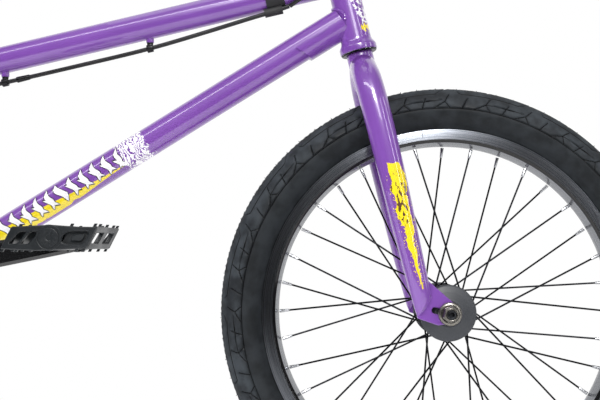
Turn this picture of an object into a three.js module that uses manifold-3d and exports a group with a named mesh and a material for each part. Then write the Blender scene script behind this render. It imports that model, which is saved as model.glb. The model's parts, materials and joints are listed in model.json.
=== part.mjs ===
// Freestyle BMX bike with 20 inch wheels, as an assembly of separate pieces.
// Millimetres. +X is forward, +Z is up and -Y is the drive side. The origin is on the ground,
// midway between the axles, in the middle plane of the bike.
import * as THREE from 'three';
import { mergeVertices } from 'three/addons/utils/BufferGeometryUtils.js';
import Module from 'manifold-3d';

const wasm = await Module();
wasm.setup();

// ---- Driving dimensions -------------------------------------------------------------------
const WHEELBASE = 945;
const TYRE_RADIUS = 258;
const TYRE_HALF_WIDTH = 28.5;
const RIM_LIP_RADIUS = 209.2;
const RIM_HALF_WIDTH = 17.5;
const RIM_BED_RADIUS = 190.5;
const SPOKES_PER_SIDE = 18;
const SPOKE_CROSSES = 3;

const FRONT_AXLE = new THREE.Vector3(WHEELBASE / 2, 0, TYRE_RADIUS);
const REAR_AXLE = new THREE.Vector3(-WHEELBASE / 2, 0, TYRE_RADIUS);
const BOTTOM_BRACKET = new THREE.Vector3(-107.5, 0, 310);

const HEAD_TILT = THREE.MathUtils.degToRad(13.5);
const HEAD_BASE = new THREE.Vector3(375.7, 0, 560.2);
const HEAD_LENGTH = 116;
const HEAD_RADIUS = 18.1;
const HEAD_CUP_RADIUS = 22;
const STEERER_RADIUS = 14.2;
const AXLE_TO_CROWN = 316.5;
const FORK_OFFSET = 23.6;

const TOP_TUBE_RADIUS = 15.9;
const TOP_TUBE_SLOPE = THREE.MathUtils.degToRad(13.03);
const TOP_TUBE_POINT = new THREE.Vector3(-49.5, 0, 552.2);
const DOWN_TUBE_RADIUS = 17;
const DOWN_TUBE_SLOPE = THREE.MathUtils.degToRad(31.84);
const DOWN_TUBE_POINT = new THREE.Vector3(141.5, 0, 463);
const SEAT_TUBE_RADIUS = 14.3;
const SEAT_TUBE_ANGLE = THREE.MathUtils.degToRad(72);
const SEAT_TUBE_LENGTH = 258;
const SEAT_POST_RADIUS = 12.7;
const TUBE_WALL = 1.6;
const TUBE_SIDES = 18;
const SEAT_POST_TOP = 322;

const FRONT_HUB_HALF = 50;
const FRONT_AXLE_HALF = 73;
const FRONT_AXLE_RADIUS = 4.9;
const REAR_HUB_HALF = 55;
const REAR_AXLE_HALF = 78;
const REAR_AXLE_RADIUS = 7;
const AXLE_RUNNING_GAP = 0.4;
const DROPOUT_THICKNESS = 6;

const CRANK_LENGTH = 175;
const CRANK_ANGLE = THREE.MathUtils.degToRad(9.5);
const CRANK_INNER_Y = 61;
const CRANK_THICKNESS = 17;
const CHAIN_PITCH = 12.7;
const SPROCKET_TEETH = 28;
const DRIVER_TEETH = 10;
const CHAIN_LINE_Y = -45.5;
const PEDAL_INNER_Y = 84;
const PEDAL_WIDTH = 102;
const PEDAL_LENGTH = 102;
const PEDAL_HEIGHT = 22;

const BAR_RADIUS = 11.1;
const BAR_RISE = 214;
const BAR_HALF_WIDTH = 362;
const STEM_REACH = 50;
const STEM_HEIGHT = 150;
const GRIP_LENGTH = 132;

const BRAKE_PIVOT_RADIUS = 174;
const BRAKE_ARM_LENGTH = 108;
const CABLE_RADIUS = 2.5;
const GAP = 0.3;

// ---- Materials ----------------------------------------------------------------------------
const finish = (color, roughness, metalness) =>
  new THREE.MeshStandardMaterial({ color, roughness, metalness });
const PURPLE_PAINT = finish(0x7c4aa8, 0.25, 0.1);
const BLACK_PAINT = finish(0x16171a, 0.35, 0.3);
const RUBBER = finish(0x2b2c2f, 0.85, 0);
const PLASTIC = finish(0x2f3237, 0.6, 0);
const STEEL = finish(0x8d9094, 0.35, 0.9);
const BLACK_STEEL = finish(0x1e1f22, 0.4, 0.8);

// ---- Shape helpers ------------------------------------------------------------------------
const vec = (x, y, z) => new THREE.Vector3(x, y, z);

function toSolid(geometry) {
  const bare = geometry.clone();
  bare.deleteAttribute('normal');
  bare.deleteAttribute('uv');
  const merged = mergeVertices(bare, 1e-4);
  const vertProperties = new Float32Array(merged.attributes.position.array);
  const triVerts = new Uint32Array(merged.index.array);
  return new wasm.Manifold(new wasm.Mesh({ numProp: 3, vertProperties, triVerts }));
}

function toGeometry(solid) {
  const mesh = solid.getMesh();
  const geometry = new THREE.BufferGeometry();
  geometry.setAttribute('position', new THREE.BufferAttribute(mesh.vertProperties, 3));
  geometry.setIndex(new THREE.BufferAttribute(mesh.triVerts, 1));
  return geometry;
}

function named(name, shape, material) {
  const geometry = shape.isBufferGeometry ? shape : toGeometry(shape);
  const mesh = new THREE.Mesh(geometry, material);
  mesh.name = name;
  return mesh;
}

const joined = (...shapes) => shapes.map(toSolid).reduce((all, next) => all.add(next));
const cut = (solid, ...shapes) =>
  shapes.reduce((left, shape) => left.subtract(toSolid(shape)), solid);

// A round bar from one point to another, with its own radius at each end.
function rod(from, to, radiusFrom, radiusTo = radiusFrom, sides = 16) {
  const along = to.clone().sub(from);
  const geometry = new THREE.CylinderGeometry(radiusTo, radiusFrom, along.length(), sides);
  const turn = new THREE.Quaternion().setFromUnitVectors(vec(0, 1, 0), along.normalize());
  geometry.applyQuaternion(turn);
  return geometry.translate(...from.clone().add(to).multiplyScalar(0.5).toArray());
}

// A round bar along Y between two lateral positions, at the given X and Z.
const pin = (x, z, yFrom, yTo, radius, sides = 16) =>
  rod(vec(x, yFrom, z), vec(x, yTo, z), radius, radius, sides);

// A ring turned about Y; its profile is a list of [radius, y] that closes on itself or meets the axis.
function turned(profile, segments) {
  const area = THREE.ShapeUtils.area(profile.map(([radius, y]) => new THREE.Vector2(radius, y)));
  const ordered = area > 0 ? profile : [...profile].reverse();
  const closed = ordered[0][0] > 0 ? [...ordered, ordered[0]] : ordered;
  return new THREE.LatheGeometry(closed.map(([radius, y]) => new THREE.Vector2(radius, y)), segments);
}

const turnedOnZ = (profile, segments) => turned(profile, segments).rotateX(Math.PI / 2);

// A flat plate in the XZ plane, between two lateral positions.
function plate(points, yFrom, yTo, holes = []) {
  const shape = new THREE.Shape(points.map(([x, z]) => new THREE.Vector2(x, z)));
  shape.holes = holes;
  const geometry = new THREE.ExtrudeGeometry(shape, { depth: yTo - yFrom, bevelEnabled: false });
  return geometry.rotateX(Math.PI / 2).translate(0, yTo, 0);
}

function box(x0, x1, y0, y1, z0, z1) {
  const block = new THREE.BoxGeometry(x1 - x0, y1 - y0, z1 - z0);
  return block.translate((x0 + x1) / 2, (y0 + y1) / 2, (z0 + z1) / 2);
}

// Points on an arc in a plane, from one angle to another.
function arc(cx, cy, radius, from, to, steps) {
  return Array.from({ length: steps + 1 }, (_, i) => {
    const angle = from + ((to - from) * i) / steps;
    return [cx + radius * Math.cos(angle), cy + radius * Math.sin(angle)];
  });
}

// A round tube along a curve, or along a smooth curve through the points.
function sweptTube(curve, radius, sides, steps) {
  const outline = arc(0, 0, radius, 0, 2 * Math.PI, sides).slice(0, sides);
  const section = new THREE.Shape(outline.map(([x, y]) => new THREE.Vector2(x, y)));
  return new THREE.ExtrudeGeometry(section, { steps, extrudePath: curve, bevelEnabled: false });
}

const bentTube = (points, radius, sides, steps) =>
  sweptTube(new THREE.CatmullRomCurve3(points), radius, sides, steps);

// A solid through a row of rings with equally many points each, closed by a flat fan at both ends.
function lofted(rings) {
  const sides = rings[0].length;
  const last = (rings.length - 1) * sides;
  const index = [];
  for (let ring = 0; ring < last; ring += sides) {
    for (let i = 0; i < sides; i += 1) {
      const [a, b] = [ring + i, ring + ((i + 1) % sides)];
      index.push(a, b, b + sides, a, b + sides, a + sides);
    }
  }
  for (let i = 1; i < sides - 1; i += 1) {
    index.push(0, i + 1, i);
    index.push(last, last + i, last + i + 1);
  }
  return new THREE.BufferGeometry().setFromPoints(rings.flat()).setIndex(index);
}

const mirrorY = (geometry) => {
  const flipped = geometry.clone().scale(1, -1, 1);
  const index = flipped.index ? flipped.index.array : null;
  const order = index || Uint32Array.from({ length: flipped.attributes.position.count }, (_, i) => i);
  const turnedOver = new Uint32Array(order.length);
  for (let i = 0; i < order.length; i += 3) turnedOver.set([order[i], order[i + 2], order[i + 1]], i);
  flipped.setIndex(new THREE.BufferAttribute(turnedOver, 1));
  return flipped;
};

// Both sides of a piece: it is drawn on the left (+Y) and mirrored to the right.
function pair(name, geometry, material) {
  return [
    named(`${name}_left`, geometry, material),
    named(`${name}_right`, mirrorY(geometry), material),
  ];
}

function group(position, rotationY, ...children) {
  const holder = new THREE.Group();
  holder.position.copy(position);
  holder.rotation.y = rotationY;
  holder.add(...children.flat());
  return holder;
}

// ---- Frame --------------------------------------------------------------------------------
const headFrame = new THREE.Matrix4().makeRotationY(-HEAD_TILT).setPosition(HEAD_BASE);
const headAxis = vec(-Math.sin(HEAD_TILT), 0, Math.cos(HEAD_TILT));
const headPoint = (height) => HEAD_BASE.clone().addScaledVector(headAxis, height);
const topTubeDirection = vec(Math.cos(TOP_TUBE_SLOPE), 0, Math.sin(TOP_TUBE_SLOPE));
const downTubeDirection = vec(Math.cos(DOWN_TUBE_SLOPE), 0, Math.sin(DOWN_TUBE_SLOPE));
const seatTubeDirection = vec(-Math.cos(SEAT_TUBE_ANGLE), 0, Math.sin(SEAT_TUBE_ANGLE));
const seatTubePoint = (height) => BOTTOM_BRACKET.clone().addScaledVector(seatTubeDirection, height);
const stayDirection = seatTubePoint(212).sub(REAR_AXLE).normalize();
const stayNormal = vec(-stayDirection.z, 0, stayDirection.x);

// The point where a line in the middle plane meets another one.
function meeting(pointA, directionA, pointB, directionB) {
  const cross = directionA.x * directionB.z - directionA.z * directionB.x;
  const offset = pointB.clone().sub(pointA);
  const along = (offset.x * directionB.z - offset.z * directionB.x) / cross;
  return pointA.clone().addScaledVector(directionA, along);
}

const topTubeFront = meeting(TOP_TUBE_POINT, topTubeDirection, HEAD_BASE, headAxis);
const topTubeRear = meeting(TOP_TUBE_POINT, topTubeDirection, BOTTOM_BRACKET, seatTubeDirection);
const downTubeFront = meeting(DOWN_TUBE_POINT, downTubeDirection, HEAD_BASE, headAxis);

// A point under the top tube, at a drop below its skin.
const belowTopTube = (x, drop, y) => {
  const along = (x - TOP_TUBE_POINT.x) * Math.tan(TOP_TUBE_SLOPE);
  return vec(x, y, TOP_TUBE_POINT.z + along - TOP_TUBE_RADIUS / Math.cos(TOP_TUBE_SLOPE) - drop);
};

const HEAD_SIDES = 20;
const HEAD_BORE_RADIUS = 15.4;
const BEARING_SEAT_RADIUS = 20.2;
const BEARING_SEAT_DEPTH = 8;

function headTube() {
  const top = HEAD_LENGTH;
  const seat = BEARING_SEAT_DEPTH;
  return turnedOnZ([
    [BEARING_SEAT_RADIUS, 0], [HEAD_CUP_RADIUS, 0], [HEAD_CUP_RADIUS, 7], [HEAD_RADIUS, 16],
    [HEAD_RADIUS, top - 16], [HEAD_CUP_RADIUS, top - 7], [HEAD_CUP_RADIUS, top], [BEARING_SEAT_RADIUS, top],
    [BEARING_SEAT_RADIUS, top - seat], [HEAD_BORE_RADIUS, top - seat], [HEAD_BORE_RADIUS, seat],
    [BEARING_SEAT_RADIUS, seat],
  ], HEAD_SIDES);
}

function headsetBearing(bottom) {
  const outer = BEARING_SEAT_RADIUS - GAP;
  const inner = STEERER_RADIUS + 0.4;
  const height = BEARING_SEAT_DEPTH - 2 * GAP;
  return turnedOnZ([
    [inner, bottom], [outer, bottom], [outer, bottom + height], [inner, bottom + height],
  ], HEAD_SIDES);
}

const headCutter = () => turnedOnZ([
  [0, -1], [HEAD_CUP_RADIUS + GAP, -1], [HEAD_CUP_RADIUS + GAP, 8], [HEAD_RADIUS + GAP, 17],
  [HEAD_RADIUS + GAP, HEAD_LENGTH - 17], [HEAD_CUP_RADIUS + GAP, HEAD_LENGTH - 8],
  [HEAD_CUP_RADIUS + GAP, HEAD_LENGTH + 1], [0, HEAD_LENGTH + 1],
], HEAD_SIDES).applyMatrix4(headFrame);

const SHELL_RADIUS = 24.5;
const SHELL_HALF_WIDTH = 36.5;
const shellCutter = () => pin(BOTTOM_BRACKET.x, BOTTOM_BRACKET.z, -60, 60, SHELL_RADIUS + GAP, 24);

const skin = (from, to, radius) => rod(from, to, radius + GAP, radius + GAP, TUBE_SIDES);
const seatTubeSkin = () =>
  skin(seatTubePoint(-10), seatTubePoint(SEAT_TUBE_LENGTH + 60), SEAT_TUBE_RADIUS);
const topTubeSkin = () =>
  skin(topTubeRear.clone().addScaledVector(topTubeDirection, -30), topTubeFront, TOP_TUBE_RADIUS);
const downTubeSkin = () => skin(BOTTOM_BRACKET, downTubeFront, DOWN_TUBE_RADIUS);

// Top tube with the two welded bosses that the cable guides bolt onto.
const CABLE_GUIDE_X = [-43, 129];
function topTube() {
  const bosses = CABLE_GUIDE_X.map((x) => {
    const seat = belowTopTube(x, 0, 0);
    return rod(seat.clone().setZ(seat.z - 4), seat.clone().setZ(seat.z + 6), 4, 4, 8);
  });
  return cut(
    joined(rod(topTubeRear, topTubeFront, TOP_TUBE_RADIUS, TOP_TUBE_RADIUS, TUBE_SIDES), ...bosses),
    headCutter(), seatTubeSkin(), rod(topTubeRear, topTubeFront, TOP_TUBE_RADIUS - TUBE_WALL));
}

const downTube = () => cut(
  toSolid(rod(BOTTOM_BRACKET, downTubeFront, DOWN_TUBE_RADIUS, DOWN_TUBE_RADIUS, TUBE_SIDES)),
  headCutter(), shellCutter(), rod(BOTTOM_BRACKET, downTubeFront, DOWN_TUBE_RADIUS - TUBE_WALL));

function seatTube() {
  const top = seatTubePoint(SEAT_TUBE_LENGTH);
  const whole = rod(BOTTOM_BRACKET, top, SEAT_TUBE_RADIUS, SEAT_TUBE_RADIUS, TUBE_SIDES);
  const bore = rod(BOTTOM_BRACKET, seatTubePoint(SEAT_TUBE_LENGTH + 10), SEAT_POST_RADIUS + GAP);
  return cut(toSolid(whole), bore, shellCutter(), downTubeSkin());
}

// A saddle-shaped plate that wraps the underside of the down tube where it meets the head tube.
const GUSSET_LENGTH = 44;
const GUSSET_HALF_WIDTH = 11;
const GUSSET_THICKNESS = 4;
function downTubeGusset() {
  const from = downTubeFront.clone().addScaledVector(downTubeDirection, -GUSSET_LENGTH - 30);
  const outside = DOWN_TUBE_RADIUS + GUSSET_THICKNESS;
  const tube = rod(from, downTubeFront, outside, outside, TUBE_SIDES);
  const under = vec(downTubeDirection.z, 0, -downTubeDirection.x);
  const corner = from.clone().addScaledVector(under, DOWN_TUBE_RADIUS + 8);
  const nose = headPoint(2).addScaledVector(under, 12);
  const window = plate([
    [from.x + under.x * 10, from.z + under.z * 10], [corner.x, corner.z], [nose.x, nose.z],
    [headPoint(34).x, headPoint(34).z],
  ], -GUSSET_HALF_WIDTH, GUSSET_HALF_WIDTH);
  return cut(toSolid(tube).intersect(toSolid(window)), downTubeSkin(), headCutter());
}

const SHELL_SEAT_RADIUS = 20.7;
function shell() {
  const seatDepth = 9;
  const seat = SHELL_SEAT_RADIUS;
  const bore = 18.5;
  const profile = [
    [seat, -SHELL_HALF_WIDTH], [SHELL_RADIUS, -SHELL_HALF_WIDTH], [SHELL_RADIUS, SHELL_HALF_WIDTH],
    [seat, SHELL_HALF_WIDTH], [seat, SHELL_HALF_WIDTH - seatDepth], [bore, SHELL_HALF_WIDTH - seatDepth],
    [bore, seatDepth - SHELL_HALF_WIDTH], [seat, seatDepth - SHELL_HALF_WIDTH],
  ];
  return turned(profile, 20).translate(...BOTTOM_BRACKET.toArray());
}

const SPINDLE_RADIUS = 9.5;
function shellBearing() {
  const outer = SHELL_SEAT_RADIUS - GAP;
  const bore = SPINDLE_RADIUS + GAP;
  const profile = [
    [bore, 28], [outer, 28], [outer, SHELL_HALF_WIDTH], [SPINDLE_RADIUS + 3, SHELL_HALF_WIDTH + 2],
    [bore, SHELL_HALF_WIDTH + 2],
  ];
  return turned(profile, 16).translate(...BOTTOM_BRACKET.toArray());
}

// Left chainstay with its slotted dropout plate; the slot opens to the rear for chain tension.
const CHAINSTAY_RADIUS = 9;
const REAR_SLOT_HALF = 7.4;
function chainstay() {
  const line = (fraction, y) => BOTTOM_BRACKET.clone().lerp(REAR_AXLE, fraction).setY(y);
  const spine = [
    line(0.03, 24), line(0.16, 30.5), line(0.3, 41.5), line(0.55, 49), line(0.85, 56), line(0.94, 58),
  ];
  const tube = bentTube(spine, CHAINSTAY_RADIUS, 10, 10);
  const inner = REAR_HUB_HALF;
  const outer = REAR_HUB_HALF + DROPOUT_THICKNESS;
  const { x, z } = REAR_AXLE;
  const outline = [
    ...arc(x + 24, z + 4, 9, 1.1 * Math.PI / 2, -Math.PI / 2, 6), [x - 26, z - 15], [x - 29, z - 8],
    [x - 29, z - REAR_SLOT_HALF], ...arc(x, z, REAR_SLOT_HALF, -Math.PI / 2, Math.PI / 2, 8),
    [x - 29, z + REAR_SLOT_HALF], [x - 29, z + 9],
    [x - 20, z + 17], [x - 2, z + 19],
  ];
  return cut(joined(tube, plate(outline, inner, outer)), shellCutter());
}

// Left seatstay with the boss that carries the brake arm.
const STAY_RADIUS = 8;
const stayPoint = (radius, y, lift = 0) =>
  REAR_AXLE.clone().addScaledVector(stayDirection, radius).addScaledVector(stayNormal, lift).setY(y);
const BRAKE_PIVOT_Y = 41;
const BRAKE_BOSS_LIFT = 10;
const BRAKE_PLANE_LIFT = 16;
const BRAKE_POST_RADIUS = 4;
const brakePivot = (lift) => stayPoint(BRAKE_PIVOT_RADIUS, BRAKE_PIVOT_Y, lift);

function seatstay() {
  const reach = seatTubePoint(212).distanceTo(REAR_AXLE);
  const tube = bentTube([
    stayPoint(24, 60.5, 2), stayPoint(90, 59), stayPoint(175, 49), stayPoint(262, 42), stayPoint(330, 35),
    stayPoint(reach - 16, 20), stayPoint(reach - 4, 13),
  ], STAY_RADIUS, 10, 12);
  const boss = rod(brakePivot(-2), brakePivot(BRAKE_BOSS_LIFT), 6, 6, 8);
  const post = rod(brakePivot(0), brakePivot(26), BRAKE_POST_RADIUS, BRAKE_POST_RADIUS, 8);
  const plateZone = box(REAR_AXLE.x - 60, REAR_AXLE.x + 34, 50, 61.4, REAR_AXLE.z - 40, REAR_AXLE.z + 19.4);
  return cut(joined(tube, boss, post), seatTubeSkin(), topTubeSkin(), plateZone);
}

function seatClamp() {
  const from = seatTubePoint(SEAT_TUBE_LENGTH - 12);
  const to = seatTubePoint(SEAT_TUBE_LENGTH + 3);
  const back = vec(-seatTubeDirection.z, 0, seatTubeDirection.x);
  const bolt = seatTubePoint(SEAT_TUBE_LENGTH - 6).addScaledVector(back, 21);
  const collarRadius = SEAT_TUBE_RADIUS + 3.6;
  const tubeTop = seatTubePoint(SEAT_TUBE_LENGTH + 2 * GAP);
  return cut(
    joined(rod(from, to, collarRadius, collarRadius, TUBE_SIDES), pin(bolt.x, bolt.z, -9, 9, 5, 10)),
    skin(seatTubePoint(SEAT_TUBE_LENGTH - 14), tubeTop, SEAT_TUBE_RADIUS),
    rod(seatTubePoint(200), seatTubePoint(300), SEAT_POST_RADIUS + GAP));
}

function seatPost() {
  const head = seatTubePoint(SEAT_POST_TOP);
  return joined(
    rod(seatTubePoint(150), head, SEAT_POST_RADIUS, SEAT_POST_RADIUS, 16),
    pin(head.x, head.z, -11, 11, 17, 20));
}

// Saddle: cross sections from the nose to the tail, each a half width, a height and a thickness.
const SEAT_SECTIONS = [
  [138, 4, 6, 8], [132, 15, 8, 14], [110, 20, 7, 20], [70, 25, 3, 24], [30, 34, 1, 26], [-10, 50, 3, 27],
  [-50, 66, 8, 28], [-85, 70, 15, 27], [-108, 62, 21, 24], [-122, 40, 24, 18], [-127, 12, 25, 12],
];
const SEAT_TILT = THREE.MathUtils.degToRad(-9);
const SEAT_BASE_LIFT = 46;

function seat() {
  const sides = 12;
  const circle = arc(0, 0, 1, 0, -2 * Math.PI, sides).slice(0, sides);
  const rings = SEAT_SECTIONS.map(([x, halfWidth, top, thickness]) => circle.map(([side, up]) =>
    vec(x, halfWidth * Math.sign(side) * Math.abs(side) ** 0.8, top + (thickness / 2) * (up - 1))));
  const place = seatTubePoint(SEAT_POST_TOP);
  return lofted(rings).rotateY(SEAT_TILT).translate(place.x, 0, place.z + SEAT_BASE_LIFT);
}

// ---- Chain --------------------------------------------------------------------------------
const pitchRadius = (teeth) => CHAIN_PITCH / (2 * Math.sin(Math.PI / teeth));

// The outline of the belt around the sprocket and the driver, moved outward by an offset.
function beltOutline(offset) {
  const big = pitchRadius(SPROCKET_TEETH) + offset;
  const small = pitchRadius(DRIVER_TEETH) + offset;
  const line = REAR_AXLE.clone().sub(BOTTOM_BRACKET);
  const heading = Math.atan2(line.z, line.x);
  const spread = Math.acos((big - small) / line.length());
  const turn = 2 * Math.PI;
  return [
    ...arc(BOTTOM_BRACKET.x, BOTTOM_BRACKET.z, big, heading + spread, heading + turn - spread, 13),
    ...arc(REAR_AXLE.x, REAR_AXLE.z, small, heading - spread, heading + spread, 7),
  ];
}

const CHAIN_HALF_WIDTH = 4.6;
const CHAIN_SLOT_HALF = 2;
function chain() {
  const hole = (offset) => [new THREE.Path(beltOutline(offset).map(([x, z]) => new THREE.Vector2(x, z)))];
  const ring = (inner, outer, yFrom, yTo) =>
    plate(beltOutline(outer), CHAIN_LINE_Y + yFrom, CHAIN_LINE_Y + yTo, hole(inner));
  return joined(
    ring(-4.2, 5.8, -CHAIN_HALF_WIDTH, -CHAIN_SLOT_HALF),
    ring(4.6, 5.8, -CHAIN_HALF_WIDTH, CHAIN_HALF_WIDTH),
    ring(-4.2, 5.8, CHAIN_SLOT_HALF, CHAIN_HALF_WIDTH));
}

// A toothed outline centred on the axis, with a hollow between neighbouring teeth for each roller.
function toothed(teeth, phase) {
  const pitch = pitchRadius(teeth);
  const step = (2 * Math.PI) / teeth;
  const rings = [[-0.5, pitch - 4], [-0.12, pitch + 3.4], [0.12, pitch + 3.4]];
  return Array.from({ length: teeth }, (_, tooth) => rings.map(([share, radius]) => {
    const angle = phase + (tooth + share) * step;
    return [radius * Math.cos(angle), radius * Math.sin(angle)];
  })).flat();
}

function circlePath(x, z, radius, sides) {
  const corners = arc(x, z, radius, 0, 2 * Math.PI, sides).slice(0, sides);
  return new THREE.Path(corners.map(([a, b]) => new THREE.Vector2(a, b)));
}

// ---- Brake cable, frame part --------------------------------------------------------------
const CABLE_SPLIT = belowTopTube(294, 2, -9.5);
const NOODLE_POINT = stayPoint(296, -33, 33);

// The housing runs from the steered part's end, under the top tube, to the left brake arm's end.
function rearCable(radius) {
  const spine = [
    CABLE_SPLIT, belowTopTube(276, 3.5, -8), belowTopTube(245, 5, -6), belowTopTube(200, 7.5, -2.5),
    belowTopTube(129, 11, 0), belowTopTube(40, 11.5, 0), belowTopTube(-43, 11, 0),
    belowTopTube(-95, 11, -4), belowTopTube(-135, 7, -17), belowTopTube(-170, 3, -27),
    belowTopTube(-205, 0, -34), stayPoint(325, -38, 26), NOODLE_POINT,
  ];
  return bentTube(spine, radius, 8, 28);
}

// A strap round the top tube and the cable under it.
const STRAP_X = [265, 286];
const STRAP_THICKNESS = 2.2;
function cableStrap() {
  const [rear, front] = STRAP_X.map((x) =>
    vec(x, 0, TOP_TUBE_POINT.z + (x - TOP_TUBE_POINT.x) * Math.tan(TOP_TUBE_SLOPE)));
  const round = (extra, radius) => rod(
    rear.clone().addScaledVector(topTubeDirection, -extra),
    front.clone().addScaledVector(topTubeDirection, extra), radius, radius, TUBE_SIDES);
  const lobe = rod(belowTopTube(STRAP_X[0], 3.4, -7.5), belowTopTube(STRAP_X[1], 3.4, -7.5), 5.4, 5.4, 10);
  return cut(
    joined(round(0, TOP_TUBE_RADIUS + STRAP_THICKNESS), lobe),
    round(5, TOP_TUBE_RADIUS + GAP), rearCable(CABLE_RADIUS + GAP));
}

// ---- Fork and handlebar, in the steering frame: +Z is the steering axis, Z 0 is the head tube's foot
const axleInFork = vec(FORK_OFFSET, 0, -AXLE_TO_CROWN);

function steerer() {
  return turnedOnZ([
    [0, -44], [14.5, -44], [CROWN_RADIUS, -40], [CROWN_RADIUS, -3], [19.5, -3], [19.5, -GAP],
    [STEERER_RADIUS, -GAP],
    [STEERER_RADIUS, HEAD_LENGTH + 46], [0, HEAD_LENGTH + 46],
  ], HEAD_SIDES);
}

// Left fork leg: a tapered tube that leaves the crown sideways, with its flat dropout.
// Each section is a centre and a radius.
const LEG_SECTIONS = [
  [-1, 12, -21, 12.5], [-1, 26, -26, 14.5], [-1, 39, -38, 15.6], [-1, 48, -60, 15.8], [-1, 52, -90, 15.7],
  [-1, 53.5, -140, 15], [-1.5, 54, -190, 14.1], [-2, 54, -240, 12.8], [-2, 54, -276, 11.7],
  [-0.5, 54, -300, 10.6], [1, 53.6, -312, 7],
];
const CROWN_RADIUS = 15.6;
const FRONT_SLOT_HALF = 5.3;

function legTube() {
  const sides = 14;
  const spine = new THREE.CatmullRomCurve3(LEG_SECTIONS.map(([x, y, z]) => vec(x, y, z)));
  return lofted(LEG_SECTIONS.map(([x, y, z, radius], section) => {
    const tangent = spine.getTangent(section / (LEG_SECTIONS.length - 1));
    const sideways = tangent.clone().cross(vec(1, 0, 0)).normalize();
    const forward = sideways.clone().cross(tangent);
    return arc(0, 0, radius, 0, 2 * Math.PI, sides).slice(0, sides).map(([ahead, aside]) =>
      vec(x, y, z).addScaledVector(forward, ahead).addScaledVector(sideways, aside));
  }));
}

function forkLeg() {
  const { x, z } = axleInFork;
  const outline = [
    [-11.5, z + 62], [-11.8, z + 3.5], [8, z - 9], ...arc(x, z, 14, -0.75 * Math.PI, 0.3 * Math.PI, 10),
    [10, z + 40], [8, z + 62],
  ];
  const slot = plate([
    [x, z + FRONT_SLOT_HALF], [x - 24, z + FRONT_SLOT_HALF - 3], [x - 24, z - FRONT_SLOT_HALF - 9],
    [x, z - FRONT_SLOT_HALF],
  ], 30, 80);
  const dropout = plate(outline, FRONT_HUB_HALF, FRONT_HUB_HALF + DROPOUT_THICKNESS);
  const crown = turnedOnZ([[0, -60], [CROWN_RADIUS + GAP, -60], [CROWN_RADIUS + GAP, 0], [0, 0]], HEAD_SIDES);
  const leg = cut(toSolid(legTube()), crown);
  return cut(leg.add(toSolid(dropout)), pin(x, z, 30, 80, FRONT_SLOT_HALF, 16), slot);
}

function headsetCap() {
  const bottom = HEAD_LENGTH + GAP;
  return turnedOnZ([
    [STEERER_RADIUS + GAP, bottom], [HEAD_CUP_RADIUS - 0.5, bottom], [HEAD_CUP_RADIUS - 0.5, bottom + 3],
    [18, bottom + 7], [18, bottom + 11], [STEERER_RADIUS + GAP, bottom + 11],
  ], HEAD_SIDES);
}

const STEM_BOTTOM = HEAD_LENGTH + 12;
const STEM_TOP = HEAD_LENGTH + 47;
const STEM_HALF_WIDTH = 26;
const CLAMP_SPLIT_X = STEM_REACH + 1;

const barBore = () => pin(STEM_REACH, STEM_HEIGHT, -60, 60, BAR_RADIUS + 2 * GAP, 16);

function stem() {
  const body = plate([
    [-20, STEM_TOP - 5], [-20, STEM_BOTTOM + 5], [-15, STEM_BOTTOM], [19, STEM_BOTTOM],
    [STEM_REACH - 18, STEM_HEIGHT - 20], [CLAMP_SPLIT_X, STEM_HEIGHT - 20], [CLAMP_SPLIT_X, STEM_HEIGHT + 20],
    [STEM_REACH - 18, STEM_HEIGHT + 20], [19, STEM_TOP], [-15, STEM_TOP],
  ], -STEM_HALF_WIDTH, STEM_HALF_WIDTH);
  const around = turnedOnZ([
    [STEERER_RADIUS + GAP, STEM_BOTTOM - 4], [60, STEM_BOTTOM - 4], [60, STEM_TOP + 20],
    [STEERER_RADIUS + GAP, STEM_TOP + 20],
  ], HEAD_SIDES);
  return cut(toSolid(body).intersect(toSolid(around)), barBore());
}

function stemFaceplate() {
  const outline = [
    [CLAMP_SPLIT_X + GAP, STEM_HEIGHT - 20],
    ...arc(STEM_REACH + 4, STEM_HEIGHT, 20, -Math.PI / 2.3, Math.PI / 2.3, 8),
    [CLAMP_SPLIT_X + GAP, STEM_HEIGHT + 20],
  ];
  return cut(toSolid(plate(outline, -STEM_HALF_WIDTH, STEM_HALF_WIDTH)), barBore());
}

const stemCap = () => turnedOnZ([
  [0, STEM_TOP + GAP], [17, STEM_TOP + GAP], [17, STEM_TOP + 4], [9, STEM_TOP + 7], [0, STEM_TOP + 7],
], HEAD_SIDES);

// Handlebar centre line, from the middle to the left end.
const BAR_BACKSWEEP = THREE.MathUtils.degToRad(11);
const BAR_UPSWEEP = THREE.MathUtils.degToRad(3);
const barFoot = vec(STEM_REACH, 66, STEM_HEIGHT);
const barShoulder = vec(STEM_REACH, 168, STEM_HEIGHT + BAR_RISE - 10);
const barEndDirection = vec(-Math.sin(BAR_BACKSWEEP), Math.cos(BAR_BACKSWEEP), Math.sin(BAR_UPSWEEP))
  .normalize();
const barEnd = barShoulder.clone()
  .addScaledVector(barEndDirection, (BAR_HALF_WIDTH - barShoulder.y) / barEndDirection.y);
const CROSSBAR_HEIGHT = STEM_HEIGHT + 160;

function barCurve() {
  const left = [barEnd, barShoulder, barFoot];
  const corners = [...left, ...left.map(({ x, y, z }) => vec(x, -y, z)).reverse()];
  const curve = new THREE.CurvePath();
  const bendLength = 36;
  let from = corners[0];
  for (let i = 1; i < corners.length - 1; i += 1) {
    const before = corners[i].clone().add(corners[i - 1].clone().sub(corners[i]).setLength(bendLength));
    const after = corners[i].clone().add(corners[i + 1].clone().sub(corners[i]).setLength(bendLength));
    curve.add(new THREE.LineCurve3(from, before));
    curve.add(new THREE.QuadraticBezierCurve3(before, corners[i], after));
    from = after;
  }
  curve.add(new THREE.LineCurve3(from, corners[corners.length - 1]));
  return curve;
}

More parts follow.
